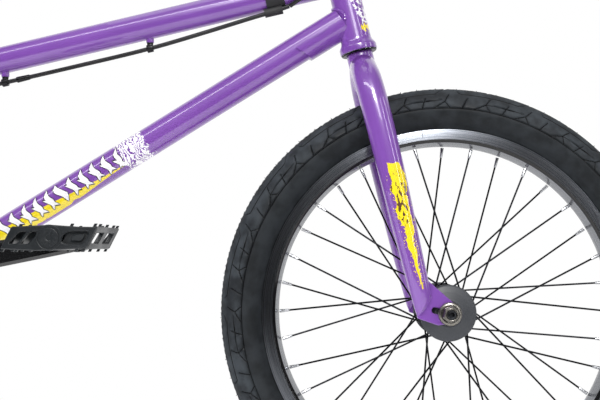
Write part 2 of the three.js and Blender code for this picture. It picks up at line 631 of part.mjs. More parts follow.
function handlebar() {
  const share = (CROSSBAR_HEIGHT - barFoot.z) / (barShoulder.z - barFoot.z);
  const halfCross = THREE.MathUtils.lerp(barFoot.y, barShoulder.y, share);
  const cross = rod(
    vec(STEM_REACH, -halfCross, CROSSBAR_HEIGHT), vec(STEM_REACH, halfCross, CROSSBAR_HEIGHT), 8.5, 8.5, 8);
  return joined(sweptTube(barCurve(), BAR_RADIUS, 8, 42), cross);
}

// Left grip: a sleeve that is closed at the outer end by the bar plug.
const GRIP_RADIUS = 15.6;
const gripPoint = (inward) => barEnd.clone().addScaledVector(barEndDirection, -inward);
function grip() {
  const outside = rod(gripPoint(GRIP_LENGTH), gripPoint(-5), GRIP_RADIUS);
  const inside = rod(gripPoint(GRIP_LENGTH + 5), gripPoint(-GAP), BAR_RADIUS + GAP);
  return cut(toSolid(outside), inside);
}

// Brake lever perch on the right side, inboard of the grip.
const onRight = ({ x, y, z }) => vec(x, -y, z);
const perchAt = onRight(gripPoint(GRIP_LENGTH + 14));
const barEndRight = onRight(barEndDirection);
const leverForward = vec(Math.cos(BAR_BACKSWEEP), -Math.sin(BAR_BACKSWEEP), 0)
  .applyAxisAngle(barEndRight, THREE.MathUtils.degToRad(-28));
const leverAxis = leverForward.clone().cross(barEndRight).normalize();
const LEVER_PIVOT = perchAt.clone().addScaledVector(leverForward, 27).addScaledVector(barEndRight, 2);
const LEVER_REACH = 78;

// A point near the lever's pivot: along the bar, out towards the blade and along the pivot's axis.
const nearPivot = (along, out, up) => LEVER_PIVOT.clone()
  .addScaledVector(barEndRight, along).addScaledVector(leverForward, out).addScaledVector(leverAxis, up);

function leverPerch() {
  const alongBar = (distance) => perchAt.clone().addScaledVector(barEndRight, distance);
  const ring = rod(alongBar(-8), alongBar(8), 15.5);
  const bridge = rod(perchAt.clone().addScaledVector(leverForward, 12), LEVER_PIVOT, 4.4, 4.4, 8);
  const lug = rod(nearPivot(0, 0, -4.5), nearPivot(0, 0, 4.5), 8.5, 8.5, 12);
  const barrel = rod(nearPivot(-4, 0, 0), nearPivot(-24, 0, 0), 4, 4.4, 8);
  return cut(joined(ring, bridge, lug, barrel), rod(alongBar(-24), alongBar(24), BAR_RADIUS + 2 * GAP));
}

const CABLE_STOP = LEVER_PIVOT.clone().addScaledVector(barEndRight, -24.5);

// Brake lever: two cheeks round the perch lug and a curved blade that reaches along the grip.
function brakeLever() {
  const cheeks = [-1, 1].map((side) =>
    rod(nearPivot(0, 0, side * 4.9), nearPivot(0, 0, side * 7.4), 8, 8, 12));
  const blade = bentTube([
    nearPivot(9, 5, 0), nearPivot(24, 18, 0), nearPivot(45, 22, 0), nearPivot(LEVER_REACH, 20, 0),
    nearPivot(LEVER_REACH + 14, 24, 0),
  ], 5.2, 8, 8);
  const knuckle = rod(nearPivot(12, 6, -7.4), nearPivot(12, 6, 7.4), 7, 7, 12);
  const lugSpace = rod(nearPivot(0, 0, -4.8), nearPivot(0, 0, 4.8), 9.2, 9.2, 12);
  return cut(joined(...cheeks, knuckle, blade), lugSpace);
}

// Brake cable, steered part, from the lever to the split under the top tube; points are in the frame's axes.
const toFrameAxes = (point) => point.clone().applyMatrix4(headFrame);
function frontCable() {
  const stop = toFrameAxes(CABLE_STOP);
  const points = [
    stop, toFrameAxes(CABLE_STOP.clone().addScaledVector(barEndRight, -30)),
    toFrameAxes(vec(92, -120, 262)), toFrameAxes(vec(98, -68, 190)), toFrameAxes(vec(76, -44, 128)),
    toFrameAxes(vec(40, -33, 92)), toFrameAxes(vec(0, -26, 71)), toFrameAxes(vec(-30, -24, 62)),
    belowTopTube(312, 0, -14), CABLE_SPLIT.clone().addScaledVector(topTubeDirection, 3 * GAP),
  ];
  return bentTube(points, CABLE_RADIUS, 8, 24);
}

// ---- Wheels, about Y at their own centre ----------------------------------------------------
const WHEEL_SEGMENTS = 28;

function tyre() {
  const half = [
    [204.2, 11], [204.2, 14], [210, 15.1], [219, 25], [232, TYRE_HALF_WIDTH], [247, 24], [256, 10],
  ];
  const other = half.map(([radius, y]) => [radius, -y]).reverse();
  const inside = TYRE_RADIUS - 7;
  return turned([[inside, 0], [232, 22], ...half, [TYRE_RADIUS, 0], ...other, [232, -22]], WHEEL_SEGMENTS);
}

function rim() {
  const half = [
    [203, 14.8], [RIM_LIP_RADIUS, 15.5], [RIM_LIP_RADIUS, RIM_HALF_WIDTH], [197.5, RIM_HALF_WIDTH],
    [193.5, 12.5], [RIM_BED_RADIUS, 3],
  ];
  const other = half.map(([radius, y]) => [radius, -y]).reverse();
  return turned([...half, ...other], WHEEL_SEGMENTS);
}

// Spokes of one side: nine leading ones pass outside nine trailing ones, each crossing three of them.
// The elbows at the hub flange are drawn as one thin ring, so that each side is one piece.
const SPOKE_RADIUS = 1.2;
const ELBOW_CIRCLE = 22.5;
const LEADING_SPOKE = { turn: 1, outsideFlange: 4.5, rimY: 6 };
const TRAILING_SPOKE = { turn: -1, outsideFlange: 2.1, rimY: 2.5 };
function spokes(side, flangeY, phase) {
  const holeStep = (2 * Math.PI) / SPOKES_PER_SIDE;
  const sweep = SPOKE_CROSSES * holeStep;
  const polar = (radius, y, angle) => vec(radius * Math.cos(angle), side * y, radius * Math.sin(angle));
  const straights = Array.from({ length: SPOKES_PER_SIDE }, (_, hole) => {
    const { turn, outsideFlange, rimY } = hole % 2 === 0 ? LEADING_SPOKE : TRAILING_SPOKE;
    const atHub = phase + hole * holeStep;
    const from = polar(ELBOW_CIRCLE, flangeY + outsideFlange, atHub);
    const to = polar(RIM_BED_RADIUS - 2, rimY, atHub + turn * sweep);
    return rod(from, to, SPOKE_RADIUS, SPOKE_RADIUS, 3);
  });
  const [yFrom, yTo] = [side * (flangeY + 0.5), side * (flangeY + 4.6)];
  const elbows = turned([
    [ELBOW_CIRCLE - 2, yFrom], [ELBOW_CIRCLE + 1.5, yFrom], [ELBOW_CIRCLE + 1.5, yTo],
    [ELBOW_CIRCLE - 2, yTo],
  ], SPOKES_PER_SIDE);
  return joined(elbows, ...straights);
}

const FLANGE_RADIUS = 25;

const FLANGE_HALF = 1.6;
const HUB_END_RADIUS = 15;
function hub({ rightFlange, leftFlange, barrelRadius, rightEnd, leftEnd, boreRadius }) {
  return turned([
    [boreRadius, -rightEnd], [HUB_END_RADIUS, -rightEnd], [HUB_END_RADIUS, -rightFlange - FLANGE_HALF],
    [FLANGE_RADIUS, -rightFlange - FLANGE_HALF], [FLANGE_RADIUS, -rightFlange + FLANGE_HALF],
    [barrelRadius + 3, -rightFlange + 5], [barrelRadius, -rightFlange + 10], [barrelRadius, leftFlange - 10],
    [barrelRadius + 3, leftFlange - 5], [FLANGE_RADIUS, leftFlange - FLANGE_HALF],
    [FLANGE_RADIUS, leftFlange + FLANGE_HALF], [HUB_END_RADIUS, leftFlange + FLANGE_HALF],
    [HUB_END_RADIUS, leftEnd], [boreRadius, leftEnd],
  ], 14);
}

// Left hub guard: a shallow plastic cone over the spoke heads, clamped between the hub and the fork.
const GUARD_RADIUS = 31.75;
const hubGuard = (innerY, outerY, boreRadius) => turned([
  [boreRadius, innerY], [24, innerY], [30.5, innerY - 1.5], [GUARD_RADIUS, innerY], [31.2, innerY + 2.5],
  [16, outerY - 1], [boreRadius, outerY],
], 20);

const hexagon = (yFrom, yTo, cornerRadius) =>
  rod(vec(0, yFrom, 0), vec(0, yTo, 0), cornerRadius, cornerRadius, 6);

function axleNut(innerY, boreRadius) {
  const body = joined(pin(0, 0, innerY, innerY + 3, 11.6, 24), hexagon(innerY + 2, innerY + 13, 9.2));
  return cut(body, pin(0, 0, innerY - 5, innerY + 30, boreRadius));
}

// Rear axle with its nuts run on.
function rearAxle() {
  const seat = REAR_HUB_HALF + DROPOUT_THICKNESS + GAP;
  const nut = (side) => [
    pin(0, 0, side * seat, side * (seat + 3), 13, 20), hexagon(side * (seat + 2), side * (seat + 13), 11.5)];
  return joined(pin(0, 0, -REAR_AXLE_HALF, REAR_AXLE_HALF, REAR_AXLE_RADIUS), ...nut(-1), ...nut(1));
}

// ---- Drive --------------------------------------------------------------------------------
function driver() {
  const ring = plate(toothed(DRIVER_TEETH, 0), CHAIN_LINE_Y - 1.6, CHAIN_LINE_Y + 1.6);
  const sleeve = pin(0, 0, -50, -36.5, 15.2, 20);
  return cut(joined(ring, sleeve), pin(0, 0, -80, 0, REAR_AXLE_RADIUS + AXLE_RUNNING_GAP));
}

const SPROCKET_WINDOWS = 5;
function sprocket() {
  const windows = Array.from({ length: SPROCKET_WINDOWS }, (_, i) => {
    const angle = ((i + 0.5) * 2 * Math.PI) / SPROCKET_WINDOWS;
    return circlePath(36 * Math.cos(angle), 36 * Math.sin(angle), 11, 8);
  });
  const disc = plate(toothed(SPROCKET_TEETH, 0), CHAIN_LINE_Y - 1.6, CHAIN_LINE_Y + 1.6, windows);
  const boss = pin(0, 0, -CRANK_INNER_Y + 1, CHAIN_LINE_Y, 19, 20);
  return cut(joined(disc, boss), pin(0, 0, -80, 0, SPINDLE_RADIUS + GAP, 16));
}

const SPINDLE_HALF = CRANK_INNER_Y + CRANK_THICKNESS - 1;
const spindle = () => pin(0, 0, -SPINDLE_HALF, SPINDLE_HALF, SPINDLE_RADIUS);

// Right crank arm along +X from the spindle, tapered towards the pedal.
const PEDAL_THREAD_RADIUS = 7;
function crankArm() {
  const outer = -CRANK_INNER_Y;
  const inner = outer - CRANK_THICKNESS;
  const bar = plate([
    ...arc(0, 0, 17.5, Math.PI / 2, (3 * Math.PI) / 2, 8),
    ...arc(CRANK_LENGTH, 0, 11.5, -Math.PI / 2, Math.PI / 2, 8),
  ], inner + 1, outer - 1);
  const boss = pin(0, 0, inner - 1, outer, 19.5, 20);
  const eye = pin(CRANK_LENGTH, 0, inner, outer, 13);
  const axleBore = pin(CRANK_LENGTH, 0, inner - 5, outer + 5, PEDAL_THREAD_RADIUS + GAP);
  return cut(joined(bar, boss, eye), pin(0, 0, inner + 1, outer + 5, SPINDLE_RADIUS + GAP), axleBore);
}

// Pedal axle on the right side, along -Y from the crank arm.
const PEDAL_END_Y = PEDAL_INNER_Y + PEDAL_WIDTH;
const pedalAxle = () => joined(
  pin(0, 0, -PEDAL_INNER_Y + 4, -CRANK_INNER_Y, PEDAL_THREAD_RADIUS),
  pin(0, 0, -PEDAL_INNER_Y + 1.5, -CRANK_INNER_Y - CRANK_THICKNESS - GAP, 9.5),
  rod(vec(0, -PEDAL_END_Y + 10, 0), vec(0, -PEDAL_INNER_Y + 4, 0), 4.5, 6.5, 12));

// Platform pedal body: a frame with cross ribs round a barrel, open between them.
function pedal() {
  const [halfX, halfZ] = [PEDAL_LENGTH / 2, PEDAL_HEIGHT / 2];
  const [inner, outer] = [-PEDAL_INNER_Y, -PEDAL_END_Y];
  const body = plate([
    [-halfX, -halfZ + 5], [-halfX + 8, -halfZ], [-18, -halfZ + 2], [18, -halfZ + 2], [halfX - 8, -halfZ],
    [halfX, -halfZ + 5], [halfX, halfZ - 5], [halfX - 8, halfZ], [18, halfZ - 2], [-18, halfZ - 2],
    [-halfX + 8, halfZ], [-halfX, halfZ - 5],
  ], outer, inner);
  const windows = [[-41, -14], [14, 41]].flatMap(([x0, x1]) =>
    [[-174, -142], [-128, -97]].map(([y0, y1]) => box(x0, x1, y0, y1, -30, 30)));
  return cut(toSolid(body), ...windows, rod(vec(0, outer + 8, 0), vec(0, inner + 5, 0), 5.2, 7.3, 12));
}

// ---- Rear brake arms ------------------------------------------------------------------------
// Left arm: a bar from its pivot post past the rim, with the pad that faces the rim.
const PAD_RADIUS = 202.5;
const PAD_LENGTH = 54;
function brakeArm() {
  const low = BRAKE_BOSS_LIFT + GAP;
  const eye = rod(brakePivot(low), brakePivot(low + 12), 8, 8, 12);
  const bar = bentTube([
    brakePivot(BRAKE_PLANE_LIFT), stayPoint(BRAKE_PIVOT_RADIUS + 30, 43, BRAKE_PLANE_LIFT + 2),
    stayPoint(BRAKE_PIVOT_RADIUS + 70, 40, BRAKE_PLANE_LIFT + 8),
    stayPoint(BRAKE_PIVOT_RADIUS + BRAKE_ARM_LENGTH, 37, BRAKE_PLANE_LIFT + 14),
  ], 5.2, 8, 8);
  const centre = stayPoint(PAD_RADIUS, 0, BRAKE_PLANE_LIFT + 1);
  const outward = centre.clone().sub(REAR_AXLE).normalize();
  const tangent = vec(-outward.z, 0, outward.x);
  const padFrame = new THREE.Matrix4().makeBasis(tangent, vec(0, 1, 0), outward.clone().negate());
  const pad = new THREE.BoxGeometry(PAD_LENGTH, 9, 9.5).translate(0, 23.9, 0);
  pad.applyMatrix4(padFrame.setPosition(centre));
  const stud = pin(centre.x, centre.z, 27, 50, 4, 10);
  const postSpace = rod(brakePivot(0), brakePivot(40), BRAKE_POST_RADIUS + GAP, BRAKE_POST_RADIUS + GAP, 12);
  return cut(joined(eye, bar, pad, stud), postSpace);
}

// ---- Assembly -------------------------------------------------------------------------------
const FLANGE_Y = 31;
const REAR_RIGHT_FLANGE_Y = 26;
const LEFT_SPOKE_PHASE = Math.PI / SPOKES_PER_SIDE;
const FRONT_HUB = {
  rightFlange: FLANGE_Y, leftFlange: FLANGE_Y, barrelRadius: 13, rightEnd: 38, leftEnd: 38,
  boreRadius: FRONT_AXLE_RADIUS + 0.5,
};
const REAR_HUB = {
  rightFlange: REAR_RIGHT_FLANGE_Y, leftFlange: FLANGE_Y, barrelRadius: 16, rightEnd: 35.8, leftEnd: 50,
  boreRadius: REAR_AXLE_RADIUS + AXLE_RUNNING_GAP,
};
const FRONT_NUT_Y = FRONT_HUB_HALF + DROPOUT_THICKNESS + GAP;

const frame = [
  named('top_tube', topTube(), PURPLE_PAINT),
  named('down_tube', downTube(), PURPLE_PAINT),
  named('down_tube_gusset', downTubeGusset(), PURPLE_PAINT),
  named('seat_tube', seatTube(), PURPLE_PAINT),
  named('bottom_bracket_shell', shell(), PURPLE_PAINT),
  ...pair('bottom_bracket_bearing', shellBearing(), BLACK_STEEL),
  ...pair('chainstay', toGeometry(chainstay()), PURPLE_PAINT),
  ...pair('seatstay', toGeometry(seatstay()), PURPLE_PAINT),
  named('seat_clamp', seatClamp(), BLACK_PAINT),
  named('seat_post', seatPost(), BLACK_PAINT),
  named('seat', seat(), PLASTIC),
  named('chain', chain(), BLACK_STEEL),
  named('brake_cable_rear', rearCable(CABLE_RADIUS), PLASTIC),
  named('cable_strap', cableStrap(), RUBBER),
];

const headPieces = group(HEAD_BASE, -HEAD_TILT, [
  named('head_tube', headTube(), PURPLE_PAINT),
  named('headset_bearing_lower', headsetBearing(GAP), STEEL),
  named('headset_bearing_upper', headsetBearing(HEAD_LENGTH - BEARING_SEAT_DEPTH + GAP), STEEL),
]);

const frontAxlePieces = group(axleInFork, 0, [
  named('front_axle', pin(0, 0, -FRONT_AXLE_HALF, FRONT_AXLE_HALF, FRONT_AXLE_RADIUS), BLACK_STEEL),
  ...pair('front_axle_nut', toGeometry(axleNut(FRONT_NUT_Y, FRONT_AXLE_RADIUS + GAP)), BLACK_STEEL),
]);

const steering = group(HEAD_BASE, -HEAD_TILT, [
  named('fork_steerer', steerer(), PURPLE_PAINT),
  ...pair('fork_leg', toGeometry(forkLeg()), PURPLE_PAINT),
  named('headset_cap', headsetCap(), BLACK_PAINT),
  named('stem', stem(), BLACK_PAINT),
  named('stem_faceplate', stemFaceplate(), BLACK_PAINT),
  named('stem_cap', stemCap(), BLACK_PAINT),
  named('handlebar', handlebar(), BLACK_PAINT),
  ...pair('grip', toGeometry(grip()), RUBBER),
  named('brake_lever_perch', leverPerch(), BLACK_PAINT),
  named('brake_lever', brakeLever(), BLACK_PAINT),
  frontAxlePieces,
]);

const frontWheel = group(FRONT_AXLE, 0, [
  named('front_tyre', tyre(), RUBBER),
  named('front_rim', rim(), BLACK_PAINT),
  named('front_hub', hub(FRONT_HUB), BLACK_PAINT),
  named('front_spokes_right', spokes(-1, FLANGE_Y + FLANGE_HALF, 0), BLACK_STEEL),
  named('front_spokes_left', spokes(1, FLANGE_Y + FLANGE_HALF, LEFT_SPOKE_PHASE), BLACK_STEEL),
]);
const hubGuards = group(FRONT_AXLE, 0, pair('hub_guard', hubGuard(39, 49.6, FRONT_HUB.boreRadius), PLASTIC));

const rearWheel = group(REAR_AXLE, 0, [
  named('rear_tyre', tyre(), RUBBER),
  named('rear_rim', rim(), BLACK_PAINT),
  named('rear_hub', hub(REAR_HUB), BLACK_PAINT),
  named('rear_spokes_right', spokes(-1, REAR_RIGHT_FLANGE_Y + FLANGE_HALF, 0), BLACK_STEEL),
  named('rear_spokes_left', spokes(1, FLANGE_Y + FLANGE_HALF, LEFT_SPOKE_PHASE), BLACK_STEEL),
  named('driver', driver(), STEEL),
  named('rear_axle', rearAxle(), BLACK_STEEL),
]);

const crankSide = (side, armAngle) => {
  const shape = (geometry) => (side === 'right' ? geometry : mirrorY(geometry));
  return group(vec(0, 0, 0), -armAngle, [
    named(`crank_arm_${side}`, shape(toGeometry(crankArm())), BLACK_PAINT),
    group(vec(CRANK_LENGTH, 0, 0), armAngle, [
      named(`pedal_axle_${side}`, shape(toGeometry(pedalAxle())), STEEL),
      named(`pedal_${side}`, shape(toGeometry(pedal())), PLASTIC),
    ]),
  ]);
};

const cranks = group(BOTTOM_BRACKET, 0, [
  named('crank_spindle', spindle(), BLACK_STEEL),
  named('sprocket', sprocket(), BLACK_PAINT),
  crankSide('right', CRANK_ANGLE),
  crankSide('left', CRANK_ANGLE + Math.PI),
]);

const bike = new THREE.Group();
bike.add(
  ...frame, headPieces, steering, named('brake_cable_front', frontCable(), PLASTIC),
  frontWheel, hubGuards, rearWheel, cranks, ...pair('brake_arm', toGeometry(brakeArm()), BLACK_PAINT));

export default bike;
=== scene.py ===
"""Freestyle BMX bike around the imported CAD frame: looks, camera, light and stage.

Shapes are worked out in millimetres, in the row frame: +X forward, +Z up, drive side at -Y.
"""
import json
import math

import bmesh
import bpy
import numpy as np
from mathutils import Matrix, Vector
from mathutils.geometry import tessellate_polygon

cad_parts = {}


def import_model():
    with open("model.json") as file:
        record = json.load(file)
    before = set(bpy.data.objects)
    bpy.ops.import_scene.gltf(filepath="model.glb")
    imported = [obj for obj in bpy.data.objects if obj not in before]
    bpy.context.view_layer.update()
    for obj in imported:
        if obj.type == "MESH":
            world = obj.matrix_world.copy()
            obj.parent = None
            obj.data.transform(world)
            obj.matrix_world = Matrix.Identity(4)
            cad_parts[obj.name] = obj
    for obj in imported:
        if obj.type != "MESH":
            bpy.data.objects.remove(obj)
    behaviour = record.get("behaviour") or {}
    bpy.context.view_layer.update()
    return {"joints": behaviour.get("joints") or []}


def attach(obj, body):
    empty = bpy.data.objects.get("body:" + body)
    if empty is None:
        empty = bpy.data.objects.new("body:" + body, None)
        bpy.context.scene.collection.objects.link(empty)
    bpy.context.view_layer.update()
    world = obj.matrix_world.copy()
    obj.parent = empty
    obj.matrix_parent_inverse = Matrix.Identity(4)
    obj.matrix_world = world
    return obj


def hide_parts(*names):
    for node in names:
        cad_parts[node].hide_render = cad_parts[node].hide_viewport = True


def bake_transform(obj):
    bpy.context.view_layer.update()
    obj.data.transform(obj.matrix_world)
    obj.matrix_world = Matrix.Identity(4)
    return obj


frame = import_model()

MM = 0.001
TAU = 2 * math.pi
JOINTS = {joint["name"]: joint for joint in frame["joints"]}


def row(values):
    """Metres of the frame as millimetres."""
    return np.array(values, float) / MM


# ---- Places, from the frame's joints and a few driving dimensions -------------------------
HEAD_BASE = row(JOINTS["steering"]["pos_m"])
HEAD_AXIS = np.array(JOINTS["steering"]["axis"], float)
FRONT_AXLE = row(JOINTS["front_wheel_spin"]["pos_m"])
REAR_AXLE = row(JOINTS["rear_wheel_spin"]["pos_m"])
BOTTOM_BRACKET = row(JOINTS["crank_spin"]["pos_m"])
RIM_BED_RADIUS = 190.5
SPOKES_PER_SIDE = 18
SPOKE_CROSSES = 3
HEAD_LENGTH = 116.0
HEAD_RADIUS = 18.1
HEAD_CUP_RADIUS = 22.0
TOP_TUBE_RADIUS = 15.9
TOP_TUBE_SLOPE = math.radians(13.03)
TOP_TUBE_POINT = np.array([-49.5, 0, 552.2])
DOWN_TUBE_RADIUS = 17.0
DOWN_TUBE_SLOPE = math.radians(31.84)
DOWN_TUBE_POINT = np.array([141.5, 0, 463.0])
SEAT_TUBE_RADIUS = 14.3
SEAT_TUBE_LENGTH = 258.0
SEAT_TUBE_ANGLE = math.radians(72)
SEAT_POST_RADIUS = 12.7
SEAT_POST_TOP = 322.0
SHELL_RADIUS = 24.5
SHELL_HALF_WIDTH = 36.5
BEARING_SEAT_RADIUS = 20.7
STAY_MEETING = 212.0
STAY_RADIUS = 8.0
CHAINSTAY_RADIUS = 9.0
CABLE_RADIUS = 2.5
CRANK_LENGTH = 175.0
CRANK_ANGLE = math.radians(9.5)
CRANK_INNER_Y = 61.0
CRANK_DEPTH = 17.0
SPINDLE_BORE = 9.8
PEDAL_BORE = 7.3
CHAIN_LINE_Y = -45.5
CHAIN_PITCH = 12.7
SPROCKET_TEETH = 28
DRIVER_TEETH = 10
PEDAL_INNER_Y = 84.0
PEDAL_END_Y = 186.0
STEM_REACH = 50.0
STEM_HEIGHT = 150.0
BAR_RADIUS = 11.1
GRIP_LENGTH = 132.0
BRAKE_PIVOT_RADIUS = 174.0
BRAKE_ARM_Y = 41.0
BRAKE_ARM_REACH = 108.0


def unit(vector):
    return np.array(vector, float) / np.linalg.norm(vector)


def square_to(direction):
    """A unit vector at a right angle to a direction."""
    return unit(np.cross(direction, [0, 1.0, 0] if abs(direction[1]) < 0.9 else [1.0, 0, 0]))


def frame_at(origin, x_axis, z_axis):
    """A place: its X and Z axes and origin, as a 4x4 matrix."""
    x_axis, z_axis = unit(x_axis), unit(z_axis)
    place = np.eye(4)
    place[:3, 0], place[:3, 1], place[:3, 2] = x_axis, np.cross(z_axis, x_axis), z_axis
    place[:3, 3] = origin
    return place


def at(origin):
    place = np.eye(4)
    place[:3, 3] = origin
    return place


def turned_about_y(angle):
    place = np.eye(4)
    place[:3, :3] = [[math.cos(angle), 0, -math.sin(angle)], [0, 1, 0],
                     [math.sin(angle), 0, math.cos(angle)]]
    return place


def aimed(start, end):
    """A place at start whose local Y runs towards end."""
    along = unit(np.array(end, float) - start)
    side = unit(np.cross(along, [0.0, 0, 1] if abs(along[2]) < 0.9 else [1.0, 0, 0]))
    place = np.eye(4)
    place[:3, 0], place[:3, 1], place[:3, 2], place[:3, 3] = side, along, np.cross(side, along), start
    return place


STEERING = frame_at(HEAD_BASE, [HEAD_AXIS[2], 0, -HEAD_AXIS[0]], HEAD_AXIS)
SEAT_DIRECTION = np.array([-math.cos(SEAT_TUBE_ANGLE), 0, math.sin(SEAT_TUBE_ANGLE)])
TOP_DIRECTION = np.array([math.cos(TOP_TUBE_SLOPE), 0, math.sin(TOP_TUBE_SLOPE)])
DOWN_DIRECTION = np.array([math.cos(DOWN_TUBE_SLOPE), 0, math.sin(DOWN_TUBE_SLOPE)])


def steer(x, y, z):
    """A point of the steering's own frame, in the row frame."""
    return STEERING[:3, :3] @ [x, y, z] + STEERING[:3, 3]


def seat_tube_point(height):
    return BOTTOM_BRACKET + SEAT_DIRECTION * height


def meeting(point_a, direction_a, point_b, direction_b):
    """Where a line in the middle plane meets another one."""
    cross = direction_a[0] * direction_b[2] - direction_a[2] * direction_b[0]
    offset = point_b - point_a
    return point_a + direction_a * (offset[0] * direction_b[2] - offset[2] * direction_b[0]) / cross


TOP_FRONT = meeting(TOP_TUBE_POINT, TOP_DIRECTION, HEAD_BASE, HEAD_AXIS)
TOP_REAR = meeting(TOP_TUBE_POINT, TOP_DIRECTION, BOTTOM_BRACKET, SEAT_DIRECTION)
DOWN_FRONT = meeting(DOWN_TUBE_POINT, DOWN_DIRECTION, HEAD_BASE, HEAD_AXIS)
DOWN_PLACE = frame_at(DOWN_FRONT, -DOWN_DIRECTION, np.cross(DOWN_DIRECTION, [0, 1, 0]))
STAY_DIRECTION = unit(seat_tube_point(STAY_MEETING) - REAR_AXLE)
STAY_NORMAL = np.array([-STAY_DIRECTION[2], 0, STAY_DIRECTION[0]])


def stay_point(radius, y, lift=0):
    """A point by the seatstays: its distance from the rear axle, its y and its height off the stay."""
    point = REAR_AXLE + STAY_DIRECTION * radius + STAY_NORMAL * lift
    return np.array([point[0], y, point[2]])


def below_top_tube(x, drop, y):
    """A point under the top tube, at a drop below its skin."""
    along = (x - TOP_TUBE_POINT[0]) * math.tan(TOP_TUBE_SLOPE)
    return np.array([x, y, TOP_TUBE_POINT[2] + along - TOP_TUBE_RADIUS / math.cos(TOP_TUBE_SLOPE) - drop])


# ---- Mesh tools: a part is (vertices, faces) in millimetres --------------------------------
def merged(*parts):
    vertices, faces, start = [], [], 0
    for part_vertices, part_faces in parts:
        vertices.append(part_vertices)
        faces += [tuple(i + start for i in face) for face in part_faces]
        start += len(part_vertices)
    return np.vstack(vertices), faces


def moved(part, place):
    return part[0] @ place[:3, :3].T + place[:3, 3], part[1]


def mirrored(part):
    return part[0] * [1, -1, 1], part[1]


SIDES = (("left", lambda part: part), ("right", mirrored))


def both_sides(part):
    return merged(part, mirrored(part))


def grid_faces(rows, columns, wrap_rows, wrap_columns):
    faces = []
    for i in range(rows if wrap_rows else rows - 1):
        for j in range(columns if wrap_columns else columns - 1):
            k, m = (i + 1) % rows, (j + 1) % columns
            faces.append((i * columns + j, i * columns + m, k * columns + m, k * columns + j))
    return faces


def lofted(rings, closed=False):
    """A skin over rings of equally many points, capped at both ends or closed into a loop."""
    rings = np.array(rings)
    count, sides = rings.shape[:2]
    faces = grid_faces(count, sides, closed, True)
    if not closed:
        faces += [tuple(range(sides))[::-1], tuple(range((count - 1) * sides, count * sides))]
    return rings.reshape(-1, 3), faces


def smooth_path(points, steps=8):
    """A centripetal Catmull-Rom curve; further columns, such as a radius, follow it."""
    p = np.array(points, float)
    p = np.vstack([2 * p[0] - p[1], p, 2 * p[-1] - p[-2]])
    path = []
    for a, b, c, d in zip(p, p[1:], p[2:], p[3:]):
        t1 = np.linalg.norm((b - a)[:3]) ** 0.5
        t2 = t1 + np.linalg.norm((c - b)[:3]) ** 0.5
        t3 = t2 + np.linalg.norm((d - c)[:3]) ** 0.5
        for t in np.linspace(t1, t2, steps, endpoint=False):
            ab = a + (b - a) * t / t1
            bc = b + (c - b) * (t - t1) / (t2 - t1)
            cd = c + (d - c) * (t - t2) / (t3 - t2)
            abc = ab + (bc - ab) * t / t2
            bcd = bc + (cd - bc) * (t - t1) / (t3 - t1)
            path.append(abc + (bcd - abc) * (t - t1) / (t2 - t1))
    path.append(p[-2])
    return np.array(path)


def arc(cx, cz, radius, start, end, steps):
    angles = np.linspace(start, end, steps + 1)
    return [(cx + radius * math.cos(a), cz + radius * math.sin(a)) for a in angles]


def circle_points(sides):
    angles = np.arange(sides) * TAU / sides
    return np.stack([np.cos(angles), np.sin(angles)], 1)


def swept(path, radius, sides):
    """A tube along a path."""
    centres = np.array(path, float)
    tangents = np.gradient(centres, axis=0)
    tangents /= np.linalg.norm(tangents, axis=1)[:, None]
    section = circle_points(sides) * radius
    across = square_to(tangents[0])
    rings = []
    for centre, tangent in zip(centres, tangents):
        across = unit(across - tangent * (across @ tangent))
        other = np.cross(tangent, across)
        rings.append(centre + section[:, :1] * across + section[:, 1:] * other)
    return lofted(rings)


CORNER_STEPS = 3


def rounded(points, size, closed=True):
    """The outline or profile with its corners rounded; size is how far each curve reaches."""
    p = np.array(points, float)
    out = []
    for i, corner in enumerate(p):
        if not closed and i in (0, len(p) - 1):
            out.append(corner)
            continue
        before, after = p[i - 1] - corner, p[(i + 1) % len(p)] - corner
        reach_before = min(size / max(np.linalg.norm(before), 1e-9), 0.45)
        reach_after = min(size / max(np.linalg.norm(after), 1e-9), 0.45)
        start, end = corner + before * reach_before, corner + after * reach_after
        for t in np.linspace(0, 1, CORNER_STEPS + 1):
            out.append((1 - t) ** 2 * start + 2 * t * (1 - t) * corner + t * t * end)
    return out


def lathe(profile, sides, phase=0.0):
    """A profile of (radius, y) turned about local Y; it closes on itself or ends on the axis."""
    profile = np.array(profile, float)
    angles = phase + np.arange(sides) * TAU / sides
    rings = [np.stack([profile[:, 0] * math.cos(a), profile[:, 1], profile[:, 0] * math.sin(a)], 1)
             for a in angles]
    closes = profile[0, 0] > 1e-6
    return np.vstack(rings), grid_faces(sides, len(profile), True, closes)


def turned(profile, bevel, sides):
    """A lathe part with rounded corners."""
    return lathe(rounded(profile, bevel, closed=profile[0][0] > 0), sides)


def collar_part(inner, outer, low, high, bevel, sides=64):
    """A ring of rectangular section about local Y."""
    return turned([(inner, low), (outer, low), (outer, high), (inner, high)], bevel, sides)


def on_z(part):
    """A part turned about local Y, set up to stand on local Z."""
    return part[0][:, [2, 0, 1]], part[1]


def disc(radius, low, high, bevel=0.5, sides=48):
    """A solid round about local Y between two places on it."""
    profile = [(0, low), (radius, low), (radius, high), (0, high)]
    return turned(profile, bevel, sides)


def rod(start, end, radius, end_radius=None, bevel=0.4, sides=32):
    start, end = np.array(start, float), np.array(end, float)
    length = np.linalg.norm(end - start)
    profile = [(0, 0), (radius, 0), (end_radius or radius, length), (0, length)]
    return moved(turned(profile, bevel, sides), aimed(start, end))


def hexagon(low, high, radius, bevel=0.8):
    return lathe([(0, low), (radius - bevel, low), (radius, low + bevel), (radius, high - bevel),
                  (radius - bevel, high), (0, high)], 6)


